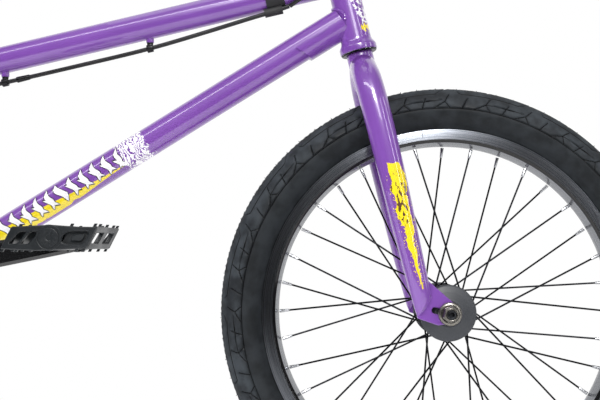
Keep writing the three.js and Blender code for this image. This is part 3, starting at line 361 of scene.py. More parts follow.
def shrunk(loop, amount):
    """The loop moved inward along its corner normals; a negative amount moves it outward."""
    p = np.array(loop, float)
    following = np.roll(p, -1, 0)
    area = np.sum(p[:, 0] * following[:, 1] - following[:, 0] * p[:, 1])
    edges = following - p
    edges /= np.linalg.norm(edges, axis=1)[:, None]
    normals = np.stack([-edges[:, 1], edges[:, 0]], 1) * (1 if area > 0 else -1)
    corner = normals + np.roll(normals, 1, 0)
    corner /= np.maximum(np.sum(corner * corner, axis=1) / 2, 0.35)[:, None]
    return p + corner * amount


def plate(outline, low, high, bevel=0.6, holes=()):
    """A flat plate in the local XZ plane between two Y positions, with chamfered edges."""
    loops = [(outline, bevel)] + [(hole, -bevel) for hole in holes]
    vertices, faces = [], []
    caps = {low: [], high: []}
    for loop, inset in loops:
        small = shrunk(loop, inset)
        sides, start = len(loop), len(vertices)
        layers = [(small, low), (loop, low + bevel), (loop, high - bevel), (small, high)]
        for points, y in layers:
            vertices += [(x, y, z) for x, z in points]
        faces += [tuple(i + start for i in face) for face in grid_faces(4, sides, False, True)]
        caps[low].append(range(start, start + sides))
        caps[high].append(range(start + 3 * sides, start + 4 * sides))
    for rings in caps.values():
        flat = [i for ring in rings for i in ring]
        polygons = [[Vector((vertices[i][0], vertices[i][2], 0)) for i in ring] for ring in rings]
        faces += [tuple(flat[i] for i in triangle) for triangle in tessellate_polygon(polygons)]
    return np.array(vertices, float), faces


def rectangle(left, right, low, high):
    return [(left, low), (right, low), (right, high), (left, high)]


def block(x, y, z, bevel):
    """A box between pairs of limits, with rounded edges."""
    return plate(rounded(rectangle(*x, *z), bevel * 1.5), *y, bevel)


def meeting_line(point, direction, radius, host_point, host_axis, host_radius, sides=96):
    """The closed line where a round tube, running along direction, first meets a round host."""
    direction, host_axis = unit(direction), unit(host_axis)
    u = square_to(direction)
    v = np.cross(direction, u)
    line = []
    for c, s in circle_points(sides):
        start = point + radius * (c * u + s * v)
        offset = start - host_point
        flat = offset - host_axis * (offset @ host_axis)
        heading = direction - host_axis * (direction @ host_axis)
        b, a = flat @ heading, heading @ heading
        root = max(b * b - a * (flat @ flat - host_radius ** 2), 0)
        line.append(start + direction * (-b - math.sqrt(root)) / a)
    return np.array(line)


def bead(line, size=1.5, ripples=40):
    """A weld bead along a closed line, with the ripples of its passes."""
    centre = line.mean(0)
    circle = circle_points(10)
    tangents = np.roll(line, -1, 0) - np.roll(line, 1, 0)
    rings = []
    for i, (point, tangent) in enumerate(zip(line, tangents)):
        outward = unit(point - centre)
        other = unit(np.cross(tangent, outward))
        local = size * (1 + 0.16 * math.sin(TAU * ripples * i / len(line)))
        rings.append(point + local * (circle[:, :1] * outward + circle[:, 1:] * other))
    return lofted(rings, closed=True)


MERGE_DISTANCE = 2e-6


def piece(name, part, finish, body, replaces=None, place=None, sharp=32):
    """Adds a part as a Blender object that rides on a CAD body; a finish is a material and its slot, and the
    slot is not used.
    """
    material, slot = finish
    mesh = bpy.data.meshes.new(name)
    mesh.from_pydata((part[0] * MM).tolist(), [], part[1])
    shape = bmesh.new()
    shape.from_mesh(mesh)
    bmesh.ops.remove_doubles(shape, verts=shape.verts, dist=MERGE_DISTANCE)
    bmesh.ops.recalc_face_normals(shape, faces=shape.faces)
    shape.to_mesh(mesh)
    shape.free()
    mesh.polygons.foreach_set("use_smooth", [True] * len(mesh.polygons))
    mesh.set_sharp_from_angle(angle=math.radians(sharp))
    mesh.materials.append(material)
    obj = bpy.data.objects.new(name, mesh)
    bpy.context.scene.collection.objects.link(obj)
    if place is not None:
        world = place.copy()
        world[:3, 3] *= MM
        obj.matrix_world = Matrix(world.tolist())
    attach(obj, body)
    if replaces:
        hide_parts(replaces)
    return obj


TREAD_RADIUS = 28.4
TREAD_CENTRE = 229.6
TREAD_REPEATS = 16
TREAD_ROUND = 240.0
TREAD_PITCH = TAU * TREAD_ROUND / TREAD_REPEATS
TREAD_START = 8.0
TREAD_DEPTH = 2.0
TREAD_SHOULDER = 2.4
CROWN_NOTCH = 1.1
NOTCH_FROM = 36.0
NOTCH_EVERY = 5
NOTCH_STEPS = 2
GROUND_HALF_ANGLE = 0.2
TYRE_SIDES = 1130
VENT_HAIRS = 150
RIM_SEAM_ANGLE = math.radians(97)
VALVE_ANGLE = math.radians(-95)
SPOKE_CIRCLE = 22.5
FLANGE_RADIUS = 25.0
FLANGE_HALF = 1.6
TREAD_SIPES = []
for peak in (TREAD_PITCH / 2, TREAD_PITCH):
    TREAD_SIPES += [((peak - 13, 0), (peak, 8.5)), ((peak + 6.5, 0), (peak, 8.5)),
                    ((peak, 8.5), (peak + 5, 19)), ((peak - 27, 0), (peak - 21.5, 14)),
                    ((peak - 3, 29), (peak + 4, 36)), ((peak - 24, 32), (peak - 15, 30))]
TREAD_SIPES += [((15, 26), (18, 20.5)), ((18, 20.5), (84, 20.5)), ((84, 20.5), (90, 26)),
                ((TREAD_PITCH / 2, 8.5), (TREAD_PITCH - 3, 10.5))]


# ---- Materials ------------------------------------------------------------------------------
class Value:
    """A node's output to calculate with; each operation adds a Math node."""

    def __init__(self, graph, socket):
        self.graph = graph
        self.socket = socket

    def __add__(self, other):
        return self.graph.math("ADD", self, other)

    def __sub__(self, other):
        return self.graph.math("SUBTRACT", self, other)

    def __rsub__(self, other):
        return self.graph.math("SUBTRACT", other, self)

    def __mul__(self, other):
        return self.graph.math("MULTIPLY", self, other)

    def __truediv__(self, other):
        return self.graph.math("DIVIDE", self, other)

    def __abs__(self):
        return self.graph.math("ABSOLUTE", self)


class Graph:
    """Short ways to add shader nodes to a node tree."""

    def __init__(self, tree):
        self.tree = tree

    def wire(self, value, target):
        if isinstance(value, Value):
            self.tree.links.new(value.socket, target)
        else:
            target.default_value = value

    def node(self, kind, inputs=(), output=0, **settings):
        """Adds a node and gives one of its outputs; inputs of None keep their defaults."""
        node = self.tree.nodes.new("ShaderNode" + kind)
        for key, value in settings.items():
            setattr(node, key, value)
        for key, value in dict(inputs).items():
            if value is not None:
                self.wire(value, node.inputs[key])
        return Value(self, node.outputs[output])

    def math(self, operation, a, b=None, c=None):
        return self.node("Math", {0: a, 1: b, 2: c}, operation=operation)

    def split(self, vector):
        outputs = self.tree.nodes.new("ShaderNodeSeparateXYZ")
        self.wire(vector, outputs.inputs[0])
        return [Value(self, output) for output in outputs.outputs]

    def radius(self, x, z):
        return self.math("SQRT", self.math("MULTIPLY_ADD", x, x, z * z))

    def line_distance(self, place, start, end):
        """Distance from a place (x, y, 0) to the straight line between two points."""
        step = (end[0] - start[0], end[1] - start[1], 0.0)
        length_squared = step[0] ** 2 + step[1] ** 2
        offset = self.node("VectorMath", {0: place, 1: (*start, 0.0)}, operation="SUBTRACT")
        dot = self.node("VectorMath", {0: offset, 1: step}, "Value", operation="DOT_PRODUCT")
        share = self.node("Clamp", {0: dot / length_squared})
        foot = self.node("VectorMath", {0: step, "Scale": share}, operation="SCALE")
        return self.node("VectorMath", {0: offset, 1: foot}, "Value", operation="DISTANCE")

    def noise(self, scale, detail=3.0, stretch=None):
        vector = self.node("TexCoord", output="Object")
        if stretch:
            vector = self.node("Mapping", {"Vector": vector, "Scale": stretch})
        return self.node("TexNoise", {"Vector": vector, "Scale": scale, "Detail": detail})

    def ramp(self, value, low, high, out_low=0.0, out_high=1.0):
        inputs = {0: value, 1: low, 2: high, 3: out_low, 4: out_high}
        return self.node("MapRange", inputs, clamp=True, interpolation_type="SMOOTHSTEP")

    def mix(self, factor, a, b):
        return self.node("Mix", {0: factor, 6: a, 7: b}, 2, data_type="RGBA")


class Look(Graph):
    """A Principled material."""

    def __init__(self, name, **values):
        self.material = bpy.data.materials.new(name)
        self.material.use_nodes = True
        super().__init__(self.material.node_tree)
        for socket, value in values.items():
            self.set(socket.replace("_", " "), value)

    def set(self, socket, value):
        self.wire(value, self.tree.nodes["Principled BSDF"].inputs[socket])

    def xyz(self):
        """Object coordinates in millimetres."""
        return [output * (1 / MM) for output in self.split(self.node("TexCoord", output="Object"))]

    def bump(self, height, distance, strength):
        inputs = {"Height": height, "Distance": distance, "Strength": strength}
        self.set("Normal", self.node("Bump", inputs))


def rgb(red, green, blue):
    """A screen colour, 0 to 255, as a linear one."""
    return tuple(((v / 255 + 0.055) / 1.055) ** 2.4 if v > 10 else v / 255 / 12.92
                 for v in (red, green, blue)) + (1.0,)


PURPLE = rgb(128, 76, 172)
PURPLE_DEEP = rgb(120, 69, 164)
DECAL_WHITE = rgb(253, 252, 255)
DECAL_BLACK = rgb(24, 20, 30)
DECAL_YELLOW = rgb(254, 228, 24)


def gloss_paint(name, marks=None):
    """Purple lacquer with a faint orange peel; marks(look, colour) adds decals."""
    look = Look(name, Roughness=0.3, Coat_Weight=1.0, Coat_Roughness=0.035, Coat_IOR=1.55)
    colour = look.mix(look.ramp(look.noise(9.0), 0.3, 0.7), PURPLE, PURPLE_DEEP)
    if marks:
        colour = marks(look, colour)
    look.set("Base Color", colour)
    look.bump(look.noise(420.0, 1.0), 0.00006, 0.5)
    return look.material, "frame_paint"


def band(look, value, low, high, edge):
    """1 between low and high, with soft edges."""
    return look.ramp(value, low, low + edge) * look.ramp(value, high - edge, high, 1, 0)


def torn_band(look, along, height, limits, reach, grain):
    """A mask with ragged edges between two distances along a tube and two heights on it."""
    ragged = (look.noise(grain, 4.0) - 0.5) * 26.0
    return band(look, along + ragged, *limits, 0.8) * band(look, height + ragged * 0.35, *reach, 0.8)


def thorns(look, along, height, pitch, half_height):
    """Distance-like value of a row of curved thorn shapes: below 0 inside, just above 0 on the rim."""
    cell_place = along / pitch
    across = look.math("FRACT", cell_place) - 0.5
    rise = height / half_height
    chance = look.node("TexWhiteNoise", {"W": look.math("FLOOR", cell_place)}, noise_dimensions="1D")
    lean = (chance - 0.3) * (rise * 0.5)
    bend = look.math("SINE", rise * 4.0) * 0.1
    taper = 1.0 - look.math("POWER", abs(rise), 2.0)
    stroke = abs(across - (lean + bend)) - (chance * 0.12 + 0.17) * taper
    hook_rise = rise - across * 1.1 - (chance - 0.6)
    hook = abs(hook_rise) * 0.6 - (0.2 - abs(across) * 0.42)
    return look.math("MINIMUM", stroke, hook)


def down_tube_marks(look, colour):
    """A row of white thorns, a torn white patch and a yellow sweep; local X runs down the tube."""
    along, _, height = look.xyz()
    sweep_top = look.ramp(along, 318.0, 480.0, -9.5, 1.0)
    sweep_foot = look.ramp(along, 314.0, 400.0, -11.5, -15.5)
    under = look.ramp(sweep_top - height, 0.0, 0.6) * look.ramp(height - sweep_foot, 0.0, 0.6)
    sweep = under * torn_band(look, along, height, (312, 482), (-15.5, 9), 60.0)
    colour = look.mix(sweep, colour, DECAL_YELLOW)
    patch = torn_band(look, along, height, (280, 314), (-18, 18), 90.0)
    waves = look.math("SINE", along * 1.5 + look.noise(75.0, 3.0) * 44.0)
    colour = look.mix(patch * look.ramp(waves, 0.2, 0.6, 1.0, 0.0), colour, DECAL_WHITE)
    distance = thorns(look, along, height - 0.8, 15.5, 12.0)
    shown = band(look, along, 313.0, 478.0, 0.5) * band(look, height, -12.0, 13.5, 0.5)
    outline = look.ramp(distance, 0.05, 0.1, 1.0, 0.0) * shown
    fill = look.ramp(distance, -0.01, 0.02, 1.0, 0.0) * shown
    return look.mix(fill, look.mix(outline, colour, DECAL_BLACK), DECAL_WHITE)


def head_marks(look, colour):
    """A torn white patch with a yellow foot on the head tube's front half."""
    ahead, _, up = look.xyz()
    edge = ahead - look.ramp(up, 28.0, 60.0, 9.0, 1.0)
    patch = torn_band(look, up, edge, (29, 104), (1.5, 30), 110.0)
    lines = look.ramp(look.noise(230.0, 2.0), 0.47, 0.53)
    foot = torn_band(look, up, ahead, (21, 28), (8.0, 30), 110.0)
    return look.mix(foot, look.mix(patch * lines, colour, DECAL_WHITE), DECAL_YELLOW)


def fork_marks(look, colour):
    """A yellow paint splash that thins out down the leg, with darker scratches in it."""
    ahead, aside, up = look.xyz()
    outer = look.ramp(abs(aside), 51.0, 54.0)
    middle = look.ramp(up, -285.0, -150.0, 0.5, 1.0)
    reach = look.ramp(up, -285.0, -172.0, 0.6, 8.5)
    ragged = (look.noise(70.0, 4.0) - 0.5) * look.ramp(up, -285.0, -190.0, 4.0, 19.0)
    past = abs(ahead - middle + ragged) - reach
    splash = look.ramp(past, -0.4, 0.4, 1.0, 0.0) * band(look, up + ragged * 1.2, -283.0, -141.0, 0.8)
    near = look.ramp(past, 1.0, 7.0, 0.5, 0.0)
    drops = look.ramp(look.noise(480.0, 2.0) + near * 0.3, 0.74, 0.76) * band(look, up, -280.0, -150.0, 4.0)
    fleck = look.ramp(look.noise(330.0, 3.0, (1, 1, 0.5)), 0.55, 0.58)
    ink = look.mix(fleck * band(look, up, -215.0, -146.0, 10.0), DECAL_YELLOW, rgb(96, 66, 40))
    return look.mix(look.math("MAXIMUM", splash * outer, drops * outer), colour, ink)


def black_gloss():
    look = Look("black_gloss", Roughness=0.22, Coat_Weight=0.6, Coat_Roughness=0.08)
    look.set("Base Color", look.mix(look.noise(30.0), rgb(11, 11, 13), rgb(20, 20, 22)))
    look.bump(look.noise(300.0, 1.0), 0.00003, 0.3)
    return look.material, "black_paint"


def black_alloy():
    """Black anodised, slightly grained."""
    look = Look("black_alloy", Metallic=0.35)
    grain = look.noise(240.0, 4.0)
    look.set("Base Color", look.mix(grain, rgb(13, 13, 15), rgb(28, 29, 32)))
    look.set("Roughness", look.ramp(grain, 0.3, 0.7, 0.26, 0.42))
    look.bump(grain, 0.00008, 0.5)
    return look.material, "black_alloy"


def steel(name, slot, dark, light, low, high):
    """Brushed or blackened steel with fine scratches."""
    look = Look(name, Metallic=1.0)
    scratches = look.noise(90.0, 5.0, (1, 14, 1))
    look.set("Base Color", look.mix(scratches, dark, light))
    look.set("Roughness", look.ramp(scratches, 0.3, 0.7, low, high))
    look.bump(scratches, 0.00004, 0.6)
    return look.material, slot


def rim_look():
    """Gloss black rim whose braking wall is turned: fine rings that catch the light like a record."""
    look = Look("turned_black_rim", Anisotropic=0.9, Anisotropic_Rotation=0.25)
    x, _, z = look.xyz()
    radius = look.radius(x, z)
    rings = look.node("TexNoise", {"W": radius * 2.2, "Scale": 1.0, "Detail": 3.0}, noise_dimensions="1D")
    wall = band(look, radius, 197.4, 209.6, 0.4)
    bed = look.ramp(radius, 193.9, 194.3, 1.0, 0.0)
    metal = look.mix(look.ramp(rings, 0.35, 0.65), rgb(76, 79, 85), rgb(132, 135, 141))
    black = look.mix(bed, rgb(12, 12, 14), rgb(134, 136, 140))
    look.set("Base Color", look.mix(wall, black, metal))
    look.set("Metallic", look.math("MAXIMUM", wall, bed * 0.7))
    look.set("Roughness", look.math("MULTIPLY_ADD", wall, 0.14, look.ramp(rings, 0.3, 0.7, 0.12, 0.2)))
    look.set("Tangent", look.node("Tangent", direction_type="RADIAL", axis="Y"))
    look.bump(rings * wall, 0.00006, 0.5)
    return look.material, "black_alloy"


def tyre_look():
    """Charcoal rubber: smooth side wall, a greyer tread that is partly dust and partly painted sheen, and
    painted shade darkening the sipes on the same lines as the cuts.
    """
    look = Look("tyre_rubber", Specular_IOR_Level=0.18)
    x, y, z = look.xyz()
    radius = look.radius(x, z)
    round_way = look.math("ARCTAN2", z, x) * -TREAD_ROUND
    far_side = look.math("GREATER_THAN", y, 0.0) * (TREAD_PITCH / 4)
    around = look.math("FLOORED_MODULO", round_way + far_side - TREAD_START, TREAD_PITCH)
    across = look.math("ARCTAN2", radius - TREAD_CENTRE, abs(y)) * TREAD_RADIUS - TREAD_SHOULDER
    place = look.node("CombineXYZ", {0: around, 1: across})
    nearest = abs(across)
    for start, end in TREAD_SIPES:
        start = (start[0] - TREAD_START, start[1])
        end = (end[0] - TREAD_START, end[1])
        nearest = look.math("MINIMUM", nearest, look.line_distance(place, start, end))
    # Painted shade: near-black colour along the sipe lines, where the grooves fall into shade.
    line = look.ramp(nearest, 0.25, 0.6, 1.0, 0.0)
    tread = look.ramp(radius, 231.0, 239.0)
    cloud = look.ramp(look.noise(60.0, 8.0), 0.3, 0.7)
    side = look.mix(cloud, rgb(25, 28, 31), rgb(41, 45, 49))
    # The tread's lighter mottled grey is partly dust and partly painted sheen.
    tread_dust_and_sheen = look.mix(cloud, rgb(35, 38, 42), rgb(61, 66, 71))
    colour = look.mix(tread, side, tread_dust_and_sheen)
    look.set("Base Color", look.mix(line, colour, rgb(9, 9, 10)))
    look.set("Roughness", look.ramp(tread + cloud, 0.3, 1.5, 0.5, 0.72))
    look.bump(look.noise(700.0, 3.0) - line * 1.5, 0.00015, 0.6)
    return look.material, "tyre_rubber"


def moulded_plastic(name, slot, low, high, rough=(0.42, 0.6)):
    look = Look(name)
    grain = look.noise(520.0, 3.0)
    cloud = look.noise(24.0, 2.0)
    look.set("Base Color", look.mix(cloud, low, high))
    look.set("Roughness", look.ramp(cloud, 0.3, 0.7, *rough))
    look.bump(grain, 0.00012, 0.6)
    return look.material, slot


def saddle_look():
    """Soft synthetic cover with a fine pebble grain."""
    look = Look("saddle_cover", Sheen_Weight=0.25, Roughness=0.62)
    place = look.node("TexCoord", output="Object")
    cells = look.node("TexVoronoi", {"Vector": place, "Scale": 900.0}, "Distance")
    look.set("Base Color", look.mix(look.noise(20.0), rgb(24, 24, 26), rgb(37, 37, 40)))
    look.bump(cells + look.noise(60.0, 3.0), 0.0002, 0.5)
    return look.material, "saddle_cover"


FLOOR_GLOW = 0.45


def stage_look():
    look = Look("pale_floor", Roughness=0.9, Emission_Color=(1, 1, 1, 1), Emission_Strength=FLOOR_GLOW)
    look.set("Base Color", look.mix(look.noise(0.8, 1.0), (0.93, 0.93, 0.93, 1), (0.96, 0.96, 0.96, 1)))
    return look.material


PAINT = gloss_paint("purple_paint")
BLACK = black_gloss()
ALLOY = black_alloy()
DARK_STEEL = steel("dark_steel", "dark_steel", rgb(46, 47, 50), rgb(88, 90, 95), 0.26, 0.42)
BLACK_STEEL = steel("black_steel", "dark_steel", rgb(15, 15, 17), rgb(34, 35, 38), 0.25, 0.4)
# Black steel for the rim seam's dark joint, and for the crown race, whose black is painted shade of the gap
# under the head tube.
BLACKENED_AND_SHADE = (BLACK_STEEL[0], "black_alloy")
NUT_STEEL = steel("nut_steel", "dark_steel", rgb(98, 95, 91), rgb(156, 152, 145), 0.24, 0.38)
BRIGHT_STEEL = steel("bright_steel", "bright_steel", rgb(150, 152, 156), rgb(205, 206, 210), 0.18, 0.32)
TYRE = tyre_look()
RIM = rim_look()
PLASTIC = moulded_plastic("dark_plastic", "dark_plastic", rgb(48, 51, 56), rgb(60, 63, 69))
PEDAL_PLASTIC = moulded_plastic("pedal_plastic", "dark_plastic", rgb(23, 26, 29), rgb(35, 39, 43),
                                (0.32, 0.46))
CABLE = moulded_plastic("cable_housing", "dark_plastic", rgb(15, 15, 16), rgb(27, 27, 30), (0.3, 0.42))
GRIP_RUBBER = moulded_plastic("grip_rubber", "grip_rubber", rgb(20, 20, 22), rgb(32, 32, 35), (0.6, 0.8))
SADDLE = saddle_look()


# ---- Frame ----------------------------------------------------------------------------------
def frame_tubes():
    length = np.linalg.norm(DOWN_FRONT - BOTTOM_BRACKET)
    down = swept([(x, 0, 0) for x in np.linspace(HEAD_RADIUS - 6, length - SHELL_RADIUS + 6, 12)],
                 DOWN_TUBE_RADIUS, 72)
    piece("down_tube_painted", down, gloss_paint("down_tube_paint", down_tube_marks), "frame", "down_tube",
          DOWN_PLACE)
    top = rod(TOP_REAR, TOP_FRONT - TOP_DIRECTION * 8, TOP_TUBE_RADIUS, sides=72)
    bosses = [rod(below_top_tube(x, -6, 0), below_top_tube(x, 4.4, 0), 4.6, bevel=1.0)
              for x in CABLE_GUIDE_X]
    piece("top_tube_painted", merged(top, *bosses), PAINT, "frame", "top_tube")
    seat_tube = collar_part(SEAT_POST_RADIUS + 0.3, SEAT_TUBE_RADIUS, 0, SEAT_TUBE_LENGTH, 0.5)
    seat_tube = moved(seat_tube, aimed(BOTTOM_BRACKET, seat_tube_point(1)))
    piece("seat_tube_painted", seat_tube, PAINT, "frame", "seat_tube")


def head_tube():
    cup, neck, top = HEAD_CUP_RADIUS, HEAD_RADIUS, HEAD_LENGTH
    profile = [(20.2, 0), (cup, 0), (cup, 6.6), (neck + 0.8, 11.5), (neck, 14.5),
               (neck, top - 14.5), (neck + 0.8, top - 11.5), (cup, top - 6.6), (cup, top),
               (20.2, top), (20.2, top - 8), (15.4, top - 8), (15.4, 8), (20.2, 8)]
    part = on_z(turned(profile, 1.2, 96))
    piece("head_tube_painted", part, gloss_paint("head_tube_paint", head_marks), "frame", "head_tube",
          STEERING)
    for name, low in (("lower", -0.5), ("upper", top - 7.7)):
        ring = on_z(collar_part(14.6, 20.0, low, low + 7.4, 0.6))
        piece(f"bearing_ring_{name}", moved(ring, STEERING), BRIGHT_STEEL, "frame",
              f"headset_bearing_{name}")


def welds():
    joints = [
        (TOP_REAR, TOP_DIRECTION, TOP_TUBE_RADIUS, HEAD_BASE, HEAD_AXIS, HEAD_RADIUS),
        (BOTTOM_BRACKET, DOWN_DIRECTION, DOWN_TUBE_RADIUS, HEAD_BASE, HEAD_AXIS, HEAD_RADIUS + 0.4),
        (TOP_FRONT, -TOP_DIRECTION, TOP_TUBE_RADIUS, BOTTOM_BRACKET, SEAT_DIRECTION, SEAT_TUBE_RADIUS),
        (DOWN_FRONT, -DOWN_DIRECTION, DOWN_TUBE_RADIUS, BOTTOM_BRACKET, [0, 1, 0], SHELL_RADIUS),
        (seat_tube_point(200), -SEAT_DIRECTION, SEAT_TUBE_RADIUS, BOTTOM_BRACKET, [0, 1, 0], SHELL_RADIUS),
    ]
    beads = [bead(meeting_line(*joint)) for joint in joints]
    piece("weld_beads", merged(*beads), PAINT, "frame")


GUSSET_WIDTH = [(12, 1.58), (30, 1.6), (35, 1.46), (42, 1.38), (52, 1.46), (58, 1.6), (76, 1.55)]


def gusset():
    """A plate wrapped under the down tube, with a scalloped upper edge and a forked end."""
    outer, inner = DOWN_TUBE_RADIUS + 2.6, DOWN_TUBE_RADIUS - 0.4
    start, shortest, fork_reach = 12.0, 65.0, 10.0
    along, widths = np.array(GUSSET_WIDTH).T
    shares = np.linspace(-1, 1, 41)
    ends = shortest + fork_reach * np.abs(shares) ** 2
    rings = []
    for share in np.linspace(0, 1, 33):
        x = start + share * (ends - start)
        angle = shares * np.interp(x, along, widths)
        skin = np.stack([x, outer * np.sin(angle), -outer * np.cos(angle)], 1)
        back = np.stack([x, inner * np.sin(angle), -inner * np.cos(angle)], 1)[::-1]
        rings.append(np.vstack([skin, back]))
    piece("gusset_plate", lofted(rings), PAINT, "frame", "down_tube_gusset", DOWN_PLACE)


def bottom_bracket():
    half, seat = SHELL_HALF_WIDTH, BEARING_SEAT_RADIUS
    shell = [(seat, -half), (SHELL_RADIUS, -half), (SHELL_RADIUS, half), (seat, half),
             (seat, half - 9), (18.5, half - 9), (18.5, 9 - half), (seat, 9 - half)]
    piece("shell_painted", turned(shell, 0.8, 72), PAINT, "frame", "bottom_bracket_shell",
          at(BOTTOM_BRACKET))
    for name, side in (("left", 1), ("right", -1)):
        ring = [(SPINDLE_BORE, side * 28), (20.4, side * 28), (20.4, side * 36.4), (13.5, side * 38.4),
                (SPINDLE_BORE, side * 38.4)]
        piece(f"crank_bearing_{name}", turned(ring, 0.5, 64), DARK_STEEL, "frame",
              f"bottom_bracket_bearing_{name}", at(BOTTOM_BRACKET))


def rear_ends():
    """Chainstays with their slotted dropouts, and seatstays with their brake posts."""
    def line(fraction, y):
        point = BOTTOM_BRACKET + (REAR_AXLE - BOTTOM_BRACKET) * fraction
        return (point[0], y, point[2])

    places = [(0.03, 24), (0.16, 30.5), (0.3, 41.5), (0.55, 49), (0.85, 56), (0.94, 58)]
    chainstay = swept(smooth_path([line(*place) for place in places]), CHAINSTAY_RADIUS, 36)
    x, z = REAR_AXLE[0], REAR_AXLE[2]
    outline = (arc(x + 24, z + 4, 9, 0.55 * math.pi, -0.5 * math.pi, 8)
               + [(x - 26, z - 15), (x - 29, z - 8), (x - 29, z - 7.4)]
               + arc(x, z, 7.4, -0.5 * math.pi, 0.5 * math.pi, 12)
               + [(x - 29, z + 7.4), (x - 29, z + 9), (x - 20, z + 17), (x - 2, z + 19)])
    dropout = plate(outline, 55, 61, 0.7)
    reach = np.linalg.norm(seat_tube_point(STAY_MEETING) - REAR_AXLE)
    places = [(20, 59.5, 1), (90, 59), (175, 49), (262, 42), (330, 35), (reach - 16, 20), (reach - 4, 13)]
    stay = swept(smooth_path([stay_point(*place) for place in places]), STAY_RADIUS, 36)
    pivot = [stay_point(BRAKE_PIVOT_RADIUS, BRAKE_ARM_Y, lift) for lift in (-2, 10, 0, 26)]
    boss, post = rod(*pivot[:2], 6), rod(*pivot[2:], 4)
    for name, side in SIDES:
        piece(f"chainstay_painted_{name}", side(merged(chainstay, dropout)), PAINT, "frame",
              f"chainstay_{name}")
        piece(f"seatstay_painted_{name}", side(merged(stay, boss, post)), PAINT, "frame",
              f"seatstay_{name}")


# ---- Cable ----------------------------------------------------------------------------------
CABLE_GUIDE_X = (-43.0, 129.0)
STRAP_X = (265.0, 286.0)
CABLE_SPLIT = below_top_tube(294, 2, -9.5)
NOODLE_POINT = stay_point(296, -33, 33)


def rear_cable():
    under_tube = [(276, 3.5, -8), (245, 5, -6), (200, 7.5, -2.5), (129, 11, 0), (40, 11.5, 0), (-43, 11, 0),
                  (-95, 11, -4), (-135, 7, -17), (-170, 3, -27), (-205, 0, -34)]
    last_bend = stay_point(325, -38, 26)
    path = smooth_path([CABLE_SPLIT, *(below_top_tube(*place) for place in under_tube), last_bend,
                        NOODLE_POINT])
    piece("cable_housing_rear", swept(path, CABLE_RADIUS, 24), CABLE, "frame", "brake_cable_rear")
    guides = []
    for x in CABLE_GUIDE_X:
        centre = below_top_tube(x, 11, 0)
        tilt = aimed(centre, centre + TOP_DIRECTION)
        guides.append(moved(collar_part(CABLE_RADIUS + 0.1, 4.7, -3.6, 3.6, 0.6, 32), tilt))
        guides.append(rod(below_top_tube(x, 3.8, 0), below_top_tube(x, 7.6, 0), 4.0, 3.4))
        guides.append(rod(centre + [0, -3.6, 2], centre + [0, 3.6, 2], 3.2, bevel=0.8))
    piece("cable_guides", merged(*guides), ALLOY, "frame")
    barrel = below_top_tube(-35, 11.2, 0)
    parts = [rod(barrel + TOP_DIRECTION * 6, barrel + TOP_DIRECTION * 22, 3.6, 3.1, 0.8),
             rod(NOODLE_POINT, NOODLE_POINT + unit(last_bend - NOODLE_POINT) * 12, 3.4)]
    piece("cable_ferrules", merged(*parts), ALLOY, "frame")


def strap():
    rear, front = (np.array([x, 0, TOP_TUBE_POINT[2] + (x - TOP_TUBE_POINT[0]) * math.tan(TOP_TUBE_SLOPE)])
                   for x in STRAP_X)
    length = np.linalg.norm(front - rear)
    ring = collar_part(TOP_TUBE_RADIUS + 0.2, TOP_TUBE_RADIUS + 2.1, 0, length, 0.7)
    band_part = moved(ring, aimed(rear, front))
    cover = swept([below_top_tube(x, 3.4, -7.5) for x in np.linspace(*STRAP_X, 6)], 5.2, 28)
    piece("cable_strap_rubber", merged(band_part, cover), GRIP_RUBBER, "frame", "cable_strap")


def front_cable():
    stop = lever_point(-24.5, 0, 0)
    spine = [stop, lever_point(-54.5, 0, 0), steer(92, -120, 262), steer(98, -68, 192),
             steer(76, -44, 138), steer(40, -33, 107), steer(0, -26, 88), steer(-30, -25, 76),
             below_top_tube(312, -3.5, -17), CABLE_SPLIT + TOP_DIRECTION * 0.9]
    housing = piece("cable_housing_front", swept(smooth_path(spine, 10), CABLE_RADIUS, 24), CABLE, "frame",
                    "brake_cable_front")
    housing.parent = None
    housing.matrix_world = Matrix.Identity(4)
    steer(98, -68, 190) * MM
    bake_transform(housing)


# ---- Seat -----------------------------------------------------------------------------------
SADDLE_RISE = 46.0
SADDLE_TILT = math.radians(-9)
SEWN_FROM, SEWN_TO = 4, -6
SADDLE_SIDES = 48
CHANNEL_WIDTH, CHANNEL_DEPTH = 7.0, 1.6
SEAM_HEIGHT, SEAM_WIDTH, SEAM_DEPTH = 0.28, 0.07, 0.9
SWELL_VOXEL = 4.0
SWELL_PRESSURE = 4.0
HELD_BELOW = -0.35
SWELL_LIMIT = 5.0
SWELL_FRAMES = 20
SEAT_SECTIONS = [
    (138, 4, 6, 8), (132, 15, 8, 14), (110, 20, 7, 20), (70, 25, 3, 24), (30, 34, 1, 26), (-10, 50, 3, 27),
    (-50, 66, 8, 28), (-85, 70, 15, 27), (-108, 62, 21, 24), (-122, 40, 24, 18), (-127, 12, 25, 12),
]


def baked(obj):
    """Makes what the modifiers show the object's own mesh."""
    mesh = bpy.data.meshes.new_from_object(obj.evaluated_get(bpy.context.evaluated_depsgraph_get()))
    obj.modifiers.clear()
    obj.data = mesh


def places_of(mesh):
    places = np.empty(len(mesh.vertices) * 3)
    mesh.vertices.foreach_get("co", places)
    return places.reshape(-1, 3)


